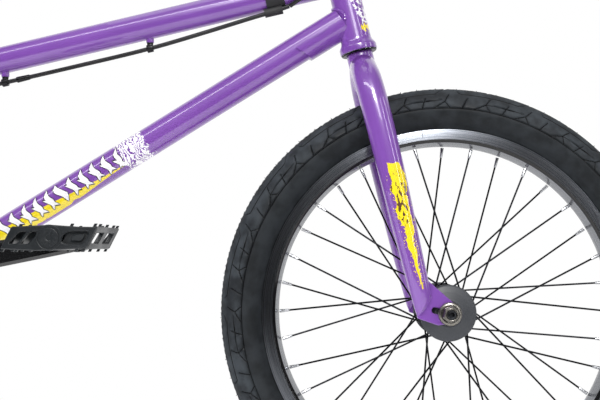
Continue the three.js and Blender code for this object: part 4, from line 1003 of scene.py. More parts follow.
def swell(cover):
    """Fills the pad with a short pressure simulation; its under side stays where it is."""
    even = cover.modifiers.new("even", "REMESH")
    even.mode = "VOXEL"
    even.voxel_size = SWELL_VOXEL * MM
    baked(cover)
    before = places_of(cover.data)
    held = cover.vertex_groups.new(name="held")
    normals = np.array([vertex.normal[2] for vertex in cover.data.vertices])
    held.add(np.nonzero(normals < HELD_BELOW)[0].tolist(), 1.0, "REPLACE")
    cloth = cover.modifiers.new("swell", "CLOTH")
    cloth.settings.use_pressure = True
    cloth.settings.uniform_pressure_force = SWELL_PRESSURE
    cloth.settings.effector_weights.gravity = 0.0
    cloth.settings.vertex_group_mass = "held"
    for frame_number in range(1, SWELL_FRAMES + 1):
        bpy.context.scene.frame_set(frame_number)
    baked(cover)
    bpy.context.scene.frame_set(1)
    step = places_of(cover.data) - before
    far = np.linalg.norm(step, axis=1, keepdims=True)
    kept = before + step * np.minimum(1.0, SWELL_LIMIT * MM / np.maximum(far, 1e-9))
    cover.data.vertices.foreach_set("co", kept.ravel())
    finer = cover.modifiers.new("finer", "SUBSURF")
    finer.levels = 1
    baked(cover)
    cover.data.polygons.foreach_set("use_smooth", [True] * len(cover.data.polygons))


def seam_at(side):
    """Which point of a saddle section its side seam runs through."""
    reach = round(SADDLE_SIDES * 0.045)
    return reach if side > 0 else SADDLE_SIDES // 2 - reach


def saddle():
    """A crowned pad over a hard base, with a channel along the middle and sewn side panels."""
    lean = turned_about_y(-SADDLE_TILT)
    lean[:3, 3] = seat_tube_point(SEAT_POST_TOP) + [0, 0, SADDLE_RISE]
    sections = smooth_path(SEAT_SECTIONS, 5)
    rings, base = [], []
    for x, half, top, thick in sections:
        ring, low = [], []
        for side, up in circle_points(SADDLE_SIDES):
            y = half * np.sign(side) * abs(side) ** 0.75
            z = top + thick / 2 * (np.sign(up) * abs(up) ** 0.8 - 1)
            crown = math.exp(-((y / CHANNEL_WIDTH) ** 2)) * CHANNEL_DEPTH * max(up, 0)
            crown *= 1 if -70 < x < 90 else 0.3
            seam = SEAM_DEPTH * math.exp(-((up - SEAM_HEIGHT) / SEAM_WIDTH) ** 2)
            ring.append((x, y - seam * np.sign(y), z - crown))
            low.append((x * 0.985, y * 0.9, top - thick * 0.86 + thick * 0.1 * up))
        rings.append(ring)
        base.append(low)
    cover = piece("saddle_padded", lofted(rings), SADDLE, "frame", "seat", lean, sharp=60)
    swell(cover)
    for side, name in ((-1, "right"), (1, "left")):
        start = [Vector(np.array(ring[seam_at(side)]) * MM) for ring in rings]
        seam = [cover.closest_point_on_mesh(place)[1] for place in start]
        line = smooth_path([np.array(point) / MM for point in seam[SEWN_FROM:SEWN_TO:2]])
        piece(f"saddle_seam_{name}", swept(line, 0.9, 10), SADDLE, "frame", place=lean)
    piece("saddle_base", lofted(base[3:-2]), PLASTIC, "frame", place=lean)


def seat_support():
    head = seat_tube_point(SEAT_POST_TOP)
    post = rod(seat_tube_point(150), head, SEAT_POST_RADIUS, sides=48)
    barrel = rod(head + [0, -11, 0], head + [0, 11, 0], 17, bevel=1.5, sides=56)
    bolt = rod(head + [0, -13.5, 0], head + [0, 13.5, 0], 4.5, bevel=0.8)
    piece("seat_post_black", merged(post, barrel, bolt), BLACK, "frame", "seat_post")
    places = [(46, 12, 24), (26, 13, 16), (0, 14.5, 13), (-26, 17, 18), (-52, 24, 34)]
    rail = merged(*[swept(smooth_path([head + np.array(place) * [1, side, 1] for place in places]), 3.5, 20)
                    for side in (-1, 1)])
    piece("saddle_rails", rail, DARK_STEEL, "frame")
    collar_radius = SEAT_TUBE_RADIUS + 3.6
    ring = [(SEAT_TUBE_RADIUS + 0.3, -12), (collar_radius, -12), (collar_radius, 3),
            (SEAT_POST_RADIUS + 0.4, 3), (SEAT_POST_RADIUS + 0.4, 0.6), (SEAT_TUBE_RADIUS + 0.3, 0.6)]
    top = seat_tube_point(SEAT_TUBE_LENGTH)
    collar = moved(turned(ring, 0.6, 64), aimed(top, top + SEAT_DIRECTION))
    back = np.array([-SEAT_DIRECTION[2], 0, SEAT_DIRECTION[0]])
    bolt_at = seat_tube_point(SEAT_TUBE_LENGTH - 6) + back * 21
    ear = rod(bolt_at + [0, -9, 0], bolt_at + [0, 9, 0], 5, bevel=0.8)
    piece("seat_clamp_black", merged(collar, ear), BLACK, "frame", "seat_clamp")


# ---- Fork -----------------------------------------------------------------------------------
LEG_SECTIONS = [(0, 0, -17.5, 15.2), (-0.5, 13, -21, 15.4), (-1, 27, -29, 15.6), (-1, 39, -40, 15.8),
                (-1, 48, -61, 15.8), (-1, 52, -90, 15.7), (-1, 53.5, -140, 15), (-1.5, 54, -190, 14.1),
                (-2, 54, -240, 12.8), (-2, 54, -276, 11.7), (-2, 54, -290, 11.0), (-2, 54, -299, 10.2),
                (-2, 54, -302.5, 8.5), (-2, 54, -303.5, 5.0)]
AXLE_X, AXLE_Z = 23.6, -316.5


def keyhole(x, z, lean):
    """The slot for the axle: a round seat and a narrower slot that ends round, leaning at an angle."""
    seat, half, reach = 5.3, 3.5, 17.0
    meet = math.asin(half / seat)
    points = arc(0, 0, seat, meet, TAU - meet, 20) + arc(reach, 0, half, -math.pi / 2, math.pi / 2, 10)
    c, s = math.cos(lean), math.sin(lean)
    return [(x + c * a - s * b, z + s * a + c * b) for a, b in points]


def fork_leg():
    path = smooth_path(LEG_SECTIONS, 6)
    tangents = np.gradient(path[:, :3], axis=0)
    rings = []
    for (x, y, z, radius), tangent in zip(path, tangents):
        tangent = unit(tangent)
        sideways = unit(np.cross(tangent, [1.0, 0, 0]))
        forward = np.cross(sideways, tangent)
        slant = np.clip((-268 - z) / 34, 0, 1) ** 1.5
        ring = []
        for ahead, aside in circle_points(48) * radius:
            point = np.array([x, y, z]) + forward * ahead + sideways * aside * (1 - 0.3 * slant)
            ring.append(point + [0, 0, 1.0 * slant * ahead])
        rings.append(ring)
    leg = lofted(rings)
    x, z = AXLE_X, AXLE_Z
    outline = ([(-11.0, z + 50), (-11.8, z + 3.5), (8, z - 9)]
               + arc(x, z, 12.6, -0.72 * math.pi, 0.3 * math.pi, 16) + [(10, z + 40), (8, z + 50)])
    lean = math.radians(153)
    dropout = plate(outline, 50, 56, 0.8, holes=[keyhole(x, z, lean)])
    crease = swept(smooth_path([(-11, 51, z + 4.5), (-2, 56.5, z + 13.5), (8, 55.5, z + 24)], 8), 1.7, 16)
    return merged(leg, dropout, crease)


def fork():
    steerer = [(0, -44), (14.5, -44), (15.6, -40), (15.6, -1.8), (14.2, -1.8), (14.2, 162), (0, 162)]
    collar = on_z(turned(steerer, 0.8, 72))
    piece("fork_crown", collar, PAINT, "fork", "fork_steerer", STEERING)
    leg = fork_leg()
    marked = gloss_paint("fork_leg_paint", fork_marks)
    piece("fork_leg_painted_left", leg, marked, "fork", "fork_leg_left", STEERING)
    piece("fork_leg_painted_right", mirrored(leg), marked, "fork", "fork_leg_right", STEERING)
    # Painted shade: a blackened crown race shows as the dark gap under the head tube.
    race = [(14.2, -1.9), (19.8, -1.9), (20.9, -1.2), (20.9, -0.6), (14.2, -0.6)]
    piece("crown_race", on_z(turned(race, 0.3, 64)), BLACKENED_AND_SHADE, "fork", place=STEERING)
    bottom = HEAD_LENGTH + 0.3
    cap = [(14.5, bottom), (21.5, bottom), (21.5, bottom + 3), (18, bottom + 7), (18, bottom + 11),
           (14.5, bottom + 11)]
    piece("headset_cap_black", moved(on_z(turned(cap, 0.8, 72)), STEERING), BLACK, "fork", "headset_cap")


def stem():
    low, high = HEAD_LENGTH + 12, HEAD_LENGTH + 47
    split = STEM_REACH + 1
    side_outline = [(-20, high - 5), (-20, low + 5), (-15, low), (19, low),
                    (STEM_REACH - 18, STEM_HEIGHT - 20), (split, STEM_HEIGHT - 20),
                    (split, STEM_HEIGHT + 20), (STEM_REACH - 18, STEM_HEIGHT + 20), (19, high), (-15, high)]
    body = plate(rounded(side_outline, 3), -26, 26, 1.6)
    piece("stem_body", body, ALLOY, "fork", "stem", STEERING)
    front = ([(split + 0.3, STEM_HEIGHT - 20)]
             + arc(STEM_REACH + 4, STEM_HEIGHT, 20, -math.pi / 2.3, math.pi / 2.3, 16)
             + [(split + 0.3, STEM_HEIGHT + 20)])
    cheeks = [plate(front, y, y + 18, 1.4) for y in (-26, 8)]
    bridge = rectangle(split + 13, split + 19, STEM_HEIGHT - 12, STEM_HEIGHT + 12)
    bridge = plate(bridge, -10, 10, 1.0)
    piece("stem_faceplate_black", merged(*cheeks, bridge), ALLOY, "fork", "stem_faceplate", STEERING)
    bolts = []
    for y in (-17, 17):
        for z in (STEM_HEIGHT - 14.5, STEM_HEIGHT + 14.5):
            bolts.append(rod((split + 8, y, z), (split + 15.5, y, z), 3.6, bevel=0.8))
    for z in (low + 9, high - 9):
        bolts.append(rod((-15, -27.6, z), (-15, -24, z), 3.6, bevel=0.8))
    piece("stem_bolts", merged(*bolts), DARK_STEEL, "fork", place=STEERING)
    cap = [(0, high + 0.3), (17, high + 0.3), (17, high + 3.5), (15, high + 4.5), (6, high + 5),
           (4, high + 3.2), (0, high + 3.2)]
    piece("stem_cap_black", on_z(turned(cap, 0.6, 64)), ALLOY, "fork", "stem_cap", STEERING)


# ---- Handlebar ------------------------------------------------------------------------------
BAR_FOOT = np.array([STEM_REACH, 66, STEM_HEIGHT])
BAR_SHOULDER = np.array([STEM_REACH, 168, STEM_HEIGHT + 204])
BAR_END_DIRECTION = unit([-math.sin(math.radians(11)), math.cos(math.radians(11)),
                          math.sin(math.radians(3))])
BAR_END = BAR_SHOULDER + BAR_END_DIRECTION * (362 - BAR_SHOULDER[1]) / BAR_END_DIRECTION[1]
BEND_LENGTH = 36.0
CROSSBAR_HEIGHT = STEM_HEIGHT + 160
CROSSBAR_RADIUS = 8.5


def handlebar():
    corners = [BAR_END, BAR_SHOULDER, BAR_FOOT, BAR_FOOT * [1, -1, 1], BAR_SHOULDER * [1, -1, 1],
               BAR_END * [1, -1, 1]]
    path = [corners[0]]
    for before, corner, after in zip(corners, corners[1:], corners[2:]):
        start = corner + unit(before - corner) * BEND_LENGTH
        end = corner + unit(after - corner) * BEND_LENGTH
        for t in np.linspace(0, 1, 12):
            path.append((1 - t) ** 2 * start + 2 * t * (1 - t) * corner + t * t * end)
    path.append(corners[-1])
    share = (CROSSBAR_HEIGHT - BAR_FOOT[2]) / (BAR_SHOULDER[2] - BAR_FOOT[2])
    half = BAR_FOOT[1] + (BAR_SHOULDER[1] - BAR_FOOT[1]) * share
    cross = rod((STEM_REACH, -half, CROSSBAR_HEIGHT), (STEM_REACH, half, CROSSBAR_HEIGHT), CROSSBAR_RADIUS,
                sides=40)
    side = unit(BAR_SHOULDER - BAR_FOOT)
    end = np.array([STEM_REACH, half, CROSSBAR_HEIGHT])
    joint = meeting_line(end * [1, 0, 1], [0, 1, 0], CROSSBAR_RADIUS, end, side, BAR_RADIUS)
    part = merged(swept(path, BAR_RADIUS, 40), cross, both_sides(bead(joint, 1.5, 18)))
    piece("handlebar_black", part, BLACK, "fork", "handlebar", STEERING)


GRIP_RIBS = 24
GRIP_RIB_PITCH = 5.0


def grips():
    """Ribbed sleeves with a rounded flange inboard and a bar plug outboard."""
    profile = [(BAR_RADIUS + 0.2, 0), (14.8, 0), (15.6, 1.2), (15.6, 3), (13.8, 4.5)]
    for i in range(GRIP_RIBS):
        start = 6 + i * GRIP_RIB_PITCH
        profile += [(13.8, start), (15.0, start + 0.8), (15.0, start + 2.8), (13.8, start + 3.6)]
    profile += [(13.8, 127), (15.2, 128.5), (15.4, 135), (13.5, 137), (0, 137), (0, 132.2),
                (BAR_RADIUS + 0.2, 132.2)]
    start = BAR_END - BAR_END_DIRECTION * GRIP_LENGTH
    sleeve = moved(lathe(profile, 56), aimed(start, BAR_END))
    piece("grip_ribbed_left", sleeve, GRIP_RUBBER, "fork", "grip_left", STEERING)
    piece("grip_ribbed_right", mirrored(sleeve), GRIP_RUBBER, "fork", "grip_right", STEERING)


# ---- Brake lever ----------------------------------------------------------------------------
LEVER_PIVOT = row(JOINTS["brake_lever_pull"]["pos_m"])
LEVER_AXIS = np.array(JOINTS["brake_lever_pull"]["axis"], float)
BAR_END_RIGHT = STEERING[:3, :3] @ (BAR_END_DIRECTION * [1, -1, 1])
LEVER_FORWARD = unit(np.cross(BAR_END_RIGHT, LEVER_AXIS))
PERCH = STEERING[:3, :3] @ ((BAR_END - BAR_END_DIRECTION * (GRIP_LENGTH + 14)) * [1, -1, 1]) + HEAD_BASE


def lever_point(along, out, up):
    """A point near the lever's pivot: along the bar, out towards the blade, along the pivot's axis."""
    return LEVER_PIVOT + BAR_END_RIGHT * along + LEVER_FORWARD * out + LEVER_AXIS * up


def brake_lever():
    clamp = collar_part(BAR_RADIUS + 0.3, 15.5, -8, 8, 1, 56)
    clamp = moved(clamp, aimed(PERCH, PERCH + BAR_END_RIGHT))
    bridge = rod(PERCH + LEVER_FORWARD * 12, LEVER_PIVOT, 4.4)
    lug = rod(lever_point(0, 0, -4.5), lever_point(0, 0, 4.5), 8.5, bevel=1)
    barrel = rod(lever_point(-4, 0, 0), lever_point(-24, 0, 0), 3.4, 4.4, 0.6)
    knurls = [rod(lever_point(-13 - i * 2.2, 0, 0), lever_point(-14.2 - i * 2.2, 0, 0), 4.9, bevel=0.3)
              for i in range(4)]
    piece("lever_perch_black", merged(clamp, bridge, lug, barrel, *knurls), ALLOY, "fork",
          "brake_lever_perch")
    cheeks = [rod(lever_point(0, 0, side * 4.9), lever_point(0, 0, side * 7.4), 8, bevel=0.8)
              for side in (-1, 1)]
    spine = [(9, 5), (24, 18), (45, 22), (78, 20), (92, 24)]
    path = smooth_path([lever_point(a, b, 0) for a, b in spine])
    blade = swept(path, 5.2, 28)
    tip = lathe([(0, -6), (3.6, -5), (6.0, -1.6), (6.2, 0), (6.0, 1.6), (3.6, 5), (0, 6)], 28)
    tip = moved(tip, at(path[-1]))
    knuckle = rod(lever_point(12, 6, -7.4), lever_point(12, 6, 7.4), 7, bevel=1)
    bolt = rod(lever_point(0, 0, -8.6), lever_point(0, 0, 8.6), 3.4, bevel=0.8)
    piece("brake_lever_black", merged(*cheeks, blade, tip, knuckle, bolt), ALLOY, "brake_lever",
          "brake_lever")


# ---- Wheels ---------------------------------------------------------------------------------
def sipe_distance(around, across):
    """Distance from the nearest tread cut, for places round the tyre and up from its shoulder, in mm."""
    around = (around - TREAD_START) % TREAD_PITCH + TREAD_START
    nearest = np.abs(across)
    for start, end in TREAD_SIPES:
        start, end = np.array(start), np.array(end)
        step = end - start
        dx, dy = around - start[0], across - start[1]
        share = np.clip((dx * step[0] + dy * step[1]) / (step @ step), 0, 1)
        nearest = np.minimum(nearest, np.hypot(dx - share * step[0], dy - share * step[1]))
    return nearest


def tyre():
    """A smooth side wall and a tread cut with chevron sipes, as deep geometry."""
    half = smooth_path([(204.2, 11.5, 0), (206, 14.6, 0), (210.4, 15.6, 0), (216, 22, 0), (224, 27, 0),
                        (229.6, 28.4, 0)], 2)[:, :2]
    angles = np.linspace(0.05, math.pi / 2, 30)
    tread = np.stack([TREAD_CENTRE + TREAD_RADIUS * np.sin(angles), TREAD_RADIUS * np.cos(angles)], 1)
    profile = np.vstack([half, tread, (tread * [1, -1])[-2::-1], (half * [1, -1])[::-1],
                         [(204.2, -8), (232, -22), (251, 0), (232, 22), (204.2, 8)]])
    angle = np.arange(TYRE_SIDES)[:, None] * TAU / TYRE_SIDES
    r, w = (np.tile(profile[:, i], (TYRE_SIDES, 1)) for i in range(2))
    outside = (r > TREAD_CENTRE - 1) & (np.hypot(r - TREAD_CENTRE, w) > TREAD_RADIUS - 0.5)
    lean = np.arctan2(r - TREAD_CENTRE, np.abs(w))
    around = -angle * TREAD_ROUND + np.where(w > 0, TREAD_PITCH / 4, 0)
    across = TREAD_RADIUS * lean - TREAD_SHOULDER
    cut = TREAD_DEPTH * np.clip(1.0 - sipe_distance(around, across), 0, 0.7) / 0.7
    notched = np.arange(TYRE_SIDES)[:, None] % NOTCH_EVERY < NOTCH_STEPS
    notch = CROWN_NOTCH * notched * (across > NOTCH_FROM)
    depth = np.where(outside, np.maximum(cut, notch), 0)
    r = r - depth * np.sin(lean)
    w = w - np.sign(w) * depth * np.cos(lean)
    vertices = np.stack([r * np.cos(angle), w, r * np.sin(angle)], 2).reshape(-1, 3)
    return vertices, grid_faces(TYRE_SIDES, len(profile), True, True)


def vent_hairs():
    """Short moulding hairs along both edges of the crown, none where the tyre meets the ground."""
    hairs = []
    for i in range(VENT_HAIRS):
        angle = (i + 0.3 * math.sin(i * 2.7)) * TAU / VENT_HAIRS
        if abs((angle - math.pi / 2) % TAU - math.pi) < GROUND_HALF_ANGLE:
            continue
        y = (5.5 + 2.5 * math.sin(i * 5.1)) * (1 if i % 2 else -1)
        root = TREAD_CENTRE + math.sqrt(TREAD_RADIUS ** 2 - y * y)
        tip = polar(root + 1.1 + 0.5 * math.sin(i * 3.3), y, angle + 0.002 * math.sin(i * 1.9))
        hairs.append(rod(polar(root - 0.6, y, angle), tip, 0.55, 0.3, 0.1, 6))
    return merged(*hairs)


def rim():
    half = [(203, 14.8), (209.2, 15.5), (209.2, 17.5), (197.3, 17.5), (194.2, 15.2), (192.2, 9),
            (190.5, 2.5)]
    profile = half + [(r, -y) for r, y in reversed(half)]
    return turned(profile, 0.5, 240)


def polar(radius, y, angle):
    """A point at a radius and angle about a wheel's axle."""
    return np.array([radius * math.cos(angle), y, radius * math.sin(angle)])


def spoke_side(side, flange_y, phase):
    """The spokes of one side and their nipples; leading ones pass outside trailing ones."""
    step = TAU / SPOKES_PER_SIDE
    spokes, nipples = [], []
    for hole in range(SPOKES_PER_SIDE):
        leading = hole % 2 == 0
        hub_angle = phase + hole * step
        rim_angle = hub_angle + (SPOKE_CROSSES if leading else -SPOKE_CROSSES) * step
        outside, rim_y = (4.2, 6) if leading else (2.1, 2.5)
        start = polar(SPOKE_CIRCLE, side * (flange_y + outside), hub_angle)
        end = polar(RIM_BED_RADIUS - 1, side * rim_y, rim_angle)
        spokes.append(swept([start, start + (end - start) * 0.5, end], 1.05, 12))
        spokes.append(rod(polar(SPOKE_CIRCLE, side * (flange_y - 0.2), hub_angle), start, 1.1, bevel=0.2,
                          sides=12))
        head = polar(SPOKE_CIRCLE, side * (flange_y + outside + 0.8), hub_angle)
        spokes.append(rod(start, head, 2.2, 1.4, 0.2, 12))
        heading = unit(end - start)
        nipples.append(rod(end - heading * 11.5, end, 1.5, 2.0, 0.5, 16))
    return merged(*spokes), merged(*nipples)


def wheel(name, centre, right_flange, left_flange, profile):
    """One wheel: tyre, rim, hub, spokes and nipples, all about its own axle."""
    place = at(centre)
    body = f"{name}_wheel"
    piece(f"{name}_tyre_treaded", TYRE_PART, TYRE, body, f"{name}_tyre", place, sharp=40)
    piece(f"{name}_vent_hairs", HAIRS_PART, TYRE, body, place=place)
    piece(f"{name}_rim_turned", rim(), RIM, body, f"{name}_rim", place)
    piece(f"{name}_hub_black", turned(profile, 1.2, 72), ALLOY, body, f"{name}_hub", place)
    right, right_nipples = spoke_side(-1, right_flange + FLANGE_HALF, 0)
    left, left_nipples = spoke_side(1, left_flange + FLANGE_HALF, math.pi / SPOKES_PER_SIDE)
    piece(f"{name}_spokes_black_right", right, BLACK_STEEL, body, f"{name}_spokes_right", place)
    piece(f"{name}_spokes_black_left", left, BLACK_STEEL, body, f"{name}_spokes_left", place)
    piece(f"{name}_nipples", merged(right_nipples, left_nipples), BRIGHT_STEEL, body, place=place)
    seam = block((208.9 - 9, 209.4), (-17.65, 17.65), (-0.25, 0.25), 0.1)
    piece(f"{name}_rim_seam", moved(seam, turned_about_y(RIM_SEAM_ANGLE)), BLACKENED_AND_SHADE, body, place=place)
    stem_at = polar(RIM_BED_RADIUS, 0, VALVE_ANGLE)
    valve = merged(rod(stem_at * 1.03, stem_at * 0.9, 3.2), rod(stem_at * 0.93, stem_at * 0.86, 4.0))
    piece(f"{name}_valve", valve, CABLE, body, place=place)


def hub_profile(right, left, barrel, right_end, left_end, bore):
    """Hub between its ends, with a flange at each side."""
    edge, half = FLANGE_RADIUS, FLANGE_HALF
    return [(bore, -right_end), (15, -right_end), (15, -right - half), (edge, -right - half),
            (edge, -right + half), (barrel + 3, -right + 5), (barrel, -right + 10), (barrel, left - 10),
            (barrel + 3, left - 5), (edge, left - half), (edge, left + half), (15, left + half),
            (15, left_end), (bore, left_end)]


NUT_BORE = 5.2
NUT_TEETH = 40


def front_axle():
    guard = [(5.4, 39), (24, 39), (30.3, 37.6), (31.75, 38.6), (31.6, 40.6), (30.2, 42), (24, 44.6),
             (17.5, 48.2), (15.5, 49.5), (5.4, 49.6)]
    guard_part = turned(guard, 0.9, 96)
    place = at(FRONT_AXLE)
    flange = [(NUT_BORE, 56.3), (12.9, 56.3), (12.9, 58.0), (12.0, 59.4), (10.4, 60.0), (NUT_BORE, 60.0)]
    ring = turned(flange, 0.4, 64)
    tooth = block((12.2, 13.2), (56.5, 58.4), (-0.35, 0.35), 0.15)
    teeth = [moved(tooth, turned_about_y(i * TAU / NUT_TEETH)) for i in range(NUT_TEETH)]
    hexed = lathe([(NUT_BORE, 59), (8.8, 59), (9.7, 60), (9.7, 67.6), (8.6, 69.2), (NUT_BORE, 69.2)], 6, 0.3)
    collar = [(NUT_BORE, 66), (7.6, 66), (7.6, 69.6), (7.0, 70.2), (6.0, 70.2), (NUT_BORE, 69.6)]
    collar = turned(collar, 0.3, 56)
    nut = merged(ring, *teeth, hexed, collar)
    for name, side in SIDES:
        piece(f"hub_guard_cone_{name}", side(guard_part), PLASTIC, "fork", f"hub_guard_{name}", place)
        piece(f"axle_nut_flanged_{name}", side(nut), NUT_STEEL, "fork", f"front_axle_nut_{name}", place)
    end = collar_part(3.1, 4.9, 66, 71.6, 0.5, 36)
    shaft = disc(4.9, -66, 66)
    floor = disc(3.0, 65, 66.2, 0.1, 6)
    piece("front_axle_dark", merged(shaft, both_sides(end), both_sides(floor)), DARK_STEEL, "fork",
          "front_axle", place)


def rear_axle():
    seat = 61.3
    parts = [disc(7, -78, 78, 0.8, 40)]
    for side in (1, -1):
        limits = sorted((side * seat, side * (seat + 3)))
        parts.append(disc(13, *limits, 0.8))
        limits = sorted((side * (seat + 2), side * (seat + 13)))
        parts.append(hexagon(*limits, 11.5))
    piece("rear_axle_nutted", merged(*parts), DARK_STEEL, "frame", "rear_axle", at(REAR_AXLE))


# ---- Drive ----------------------------------------------------------------------------------
TOOTH_LIMITS = (CHAIN_LINE_Y - 1.6, CHAIN_LINE_Y + 1.6)


def pitch_radius(teeth):
    return CHAIN_PITCH / (2 * math.sin(math.pi / teeth))


def toothed(teeth):
    """A toothed outline with a round hollow for each roller, centred on the axis."""
    pitch, step = pitch_radius(teeth), TAU / teeth
    outline = []
    for tooth in range(teeth):
        hollow = (tooth - 0.5) * step
        for share in np.linspace(-0.3, 0.3, 5):
            depth = 4.0 * math.cos(share / 0.3 * math.pi / 2) ** 0.5
            outline.append((pitch + 0.6 - depth, hollow + share * step))
        outline.append((pitch + 3.2, hollow + 0.42 * step))
        outline.append((pitch + 3.2, hollow + 0.58 * step))
    return [(r * math.cos(a), r * math.sin(a)) for r, a in outline]


def sprocket():
    windows = []
    for i in range(5):
        angle = (i + 0.5) * TAU / 5
        windows.append(arc(36 * math.cos(angle), 36 * math.sin(angle), 11, 0, TAU, 24)[:-1])
    disc_part = plate(toothed(SPROCKET_TEETH), *TOOTH_LIMITS, 0.5, windows)
    boss = collar_part(SPINDLE_BORE, 19, -60, CHAIN_LINE_Y, 1, 56)
    piece("sprocket_black", merged(disc_part, boss), BLACK, "crank", "sprocket", at(BOTTOM_BRACKET))
    ring = plate(toothed(DRIVER_TEETH), *TOOTH_LIMITS, 0.4,
                 [arc(0, 0, 9, 0, TAU, 32)[:-1]])
    sleeve = collar_part(7.4, 15.2, -50, -36.5, 0.6, 48)
    piece("driver_steel", merged(ring, sleeve), BRIGHT_STEEL, "driver", "driver", at(REAR_AXLE))


def chain_path():
    """Link pins round the sprocket and the driver, as (x, z) with the heading of each link."""
    big, small = pitch_radius(SPROCKET_TEETH), pitch_radius(DRIVER_TEETH)
    line = REAR_AXLE - BOTTOM_BRACKET
    heading = math.atan2(line[2], line[0])
    spread = math.acos((big - small) / np.hypot(line[0], line[2]))
    points = (arc(BOTTOM_BRACKET[0], BOTTOM_BRACKET[2], big, heading + spread, heading + TAU - spread, 90)
              + arc(REAR_AXLE[0], REAR_AXLE[2], small, heading - spread, heading + spread, 60))
    points = np.array(points + points[:1])
    lengths = np.concatenate([[0], np.cumsum(np.linalg.norm(np.diff(points, axis=0), axis=1))])
    count = 2 * round(lengths[-1] / CHAIN_PITCH / 2)
    stations = np.arange(count) * lengths[-1] / count
    return np.stack([np.interp(stations, lengths, points[:, i]) for i in range(2)], 1)


def chain():
    pins = chain_path()
    ends = 3.9
    parts = []
    for i, (here, there) in enumerate(zip(pins, np.roll(pins, -1, 0))):
        length = np.linalg.norm(there - here)
        outer = i % 2 == 0
        waist = 3.0
        outline = (arc(0, 0, ends, 0.6 * math.pi, 1.4 * math.pi, 8) + [(length / 2, -waist)]
                   + arc(length, 0, ends, -0.4 * math.pi, 0.4 * math.pi, 8) + [(length / 2, waist)])
        heading = np.array([there[0] - here[0], 0, there[1] - here[1]])
        place = frame_at([here[0], CHAIN_LINE_Y, here[1]], heading, np.cross(heading, [0, 1, 0]))
        y = 3.4 if outer else 2.3
        for side in (1, -1):
            limits = sorted((side * y, side * (y + 1.05)))
            parts.append(moved(plate(outline, *limits, 0.25), place))
        parts.append(moved(disc(3.2, -2.2, 2.2, 0.2, 16), place))
        parts.append(moved(disc(1.8, -4.9, 4.9, 0.3, 12), place))
    piece("chain_links", merged(*parts), DARK_STEEL, "frame", "chain")


def crank_arm():
    """Right arm along +X: a forged taper with chamfered edges, a boss, a bolt and a pedal eye."""
    outer, inner = -CRANK_INNER_Y, -CRANK_INNER_Y - CRANK_DEPTH
    outline = (arc(0, 0, 17.5, math.pi / 2, 1.5 * math.pi, 20)
               + arc(CRANK_LENGTH, 0, 11.5, -math.pi / 2, math.pi / 2, 20))
    bar = plate(outline, inner + 1, outer - 1, 3.6)
    boss = turned([(0, inner - 1), (19.5, inner - 1), (19.5, outer), (SPINDLE_BORE, outer),
                   (SPINDLE_BORE, inner + 3), (0, inner + 3)], 1.4, 64)
    bolt = merged(disc(10.5, inner - 2.2, inner, 1.0), disc(5.0, inner - 3.0, inner - 1, 0.6, 6))
    eye = collar_part(PEDAL_BORE, 13, inner, outer, 1.2, 48)
    return merged(bar, boss, bolt, moved(eye, at((CRANK_LENGTH, 0, 0))))


PEDAL_SHEAR = 0.5
PEDAL_HALF_LENGTH = 42.5
PEDAL_HALF_HEIGHT = 11.1
PEDAL_LIFT = 1.6
PEDAL_PINS_ABOVE = [(16, 3.5), (39, 3.5), (40, 20), (40, 50), (40, 80), (40, 98), (-24, 98), (0, 98),
                    (24, 98), (-40, 20), (-40, 50), (-40, 80), (-40, 98)]
PEDAL_PINS_BELOW = [(-40, 3.5), (-26, 3.5), (-12, 3.5), (33, 3.5), (40, 3.5), (40, 30), (40, 65), (40, 98),
                    (-40, 35), (-40, 66), (-40, 98), (0, 98)]


SLOT_LEAN = 2.0


def slot_hole(left, right, half_height):
    return rounded([(left - SLOT_LEAN, -half_height), (right - SLOT_LEAN, -half_height),
                    (right + SLOT_LEAN, half_height), (left + SLOT_LEAN, half_height)], 2.5)


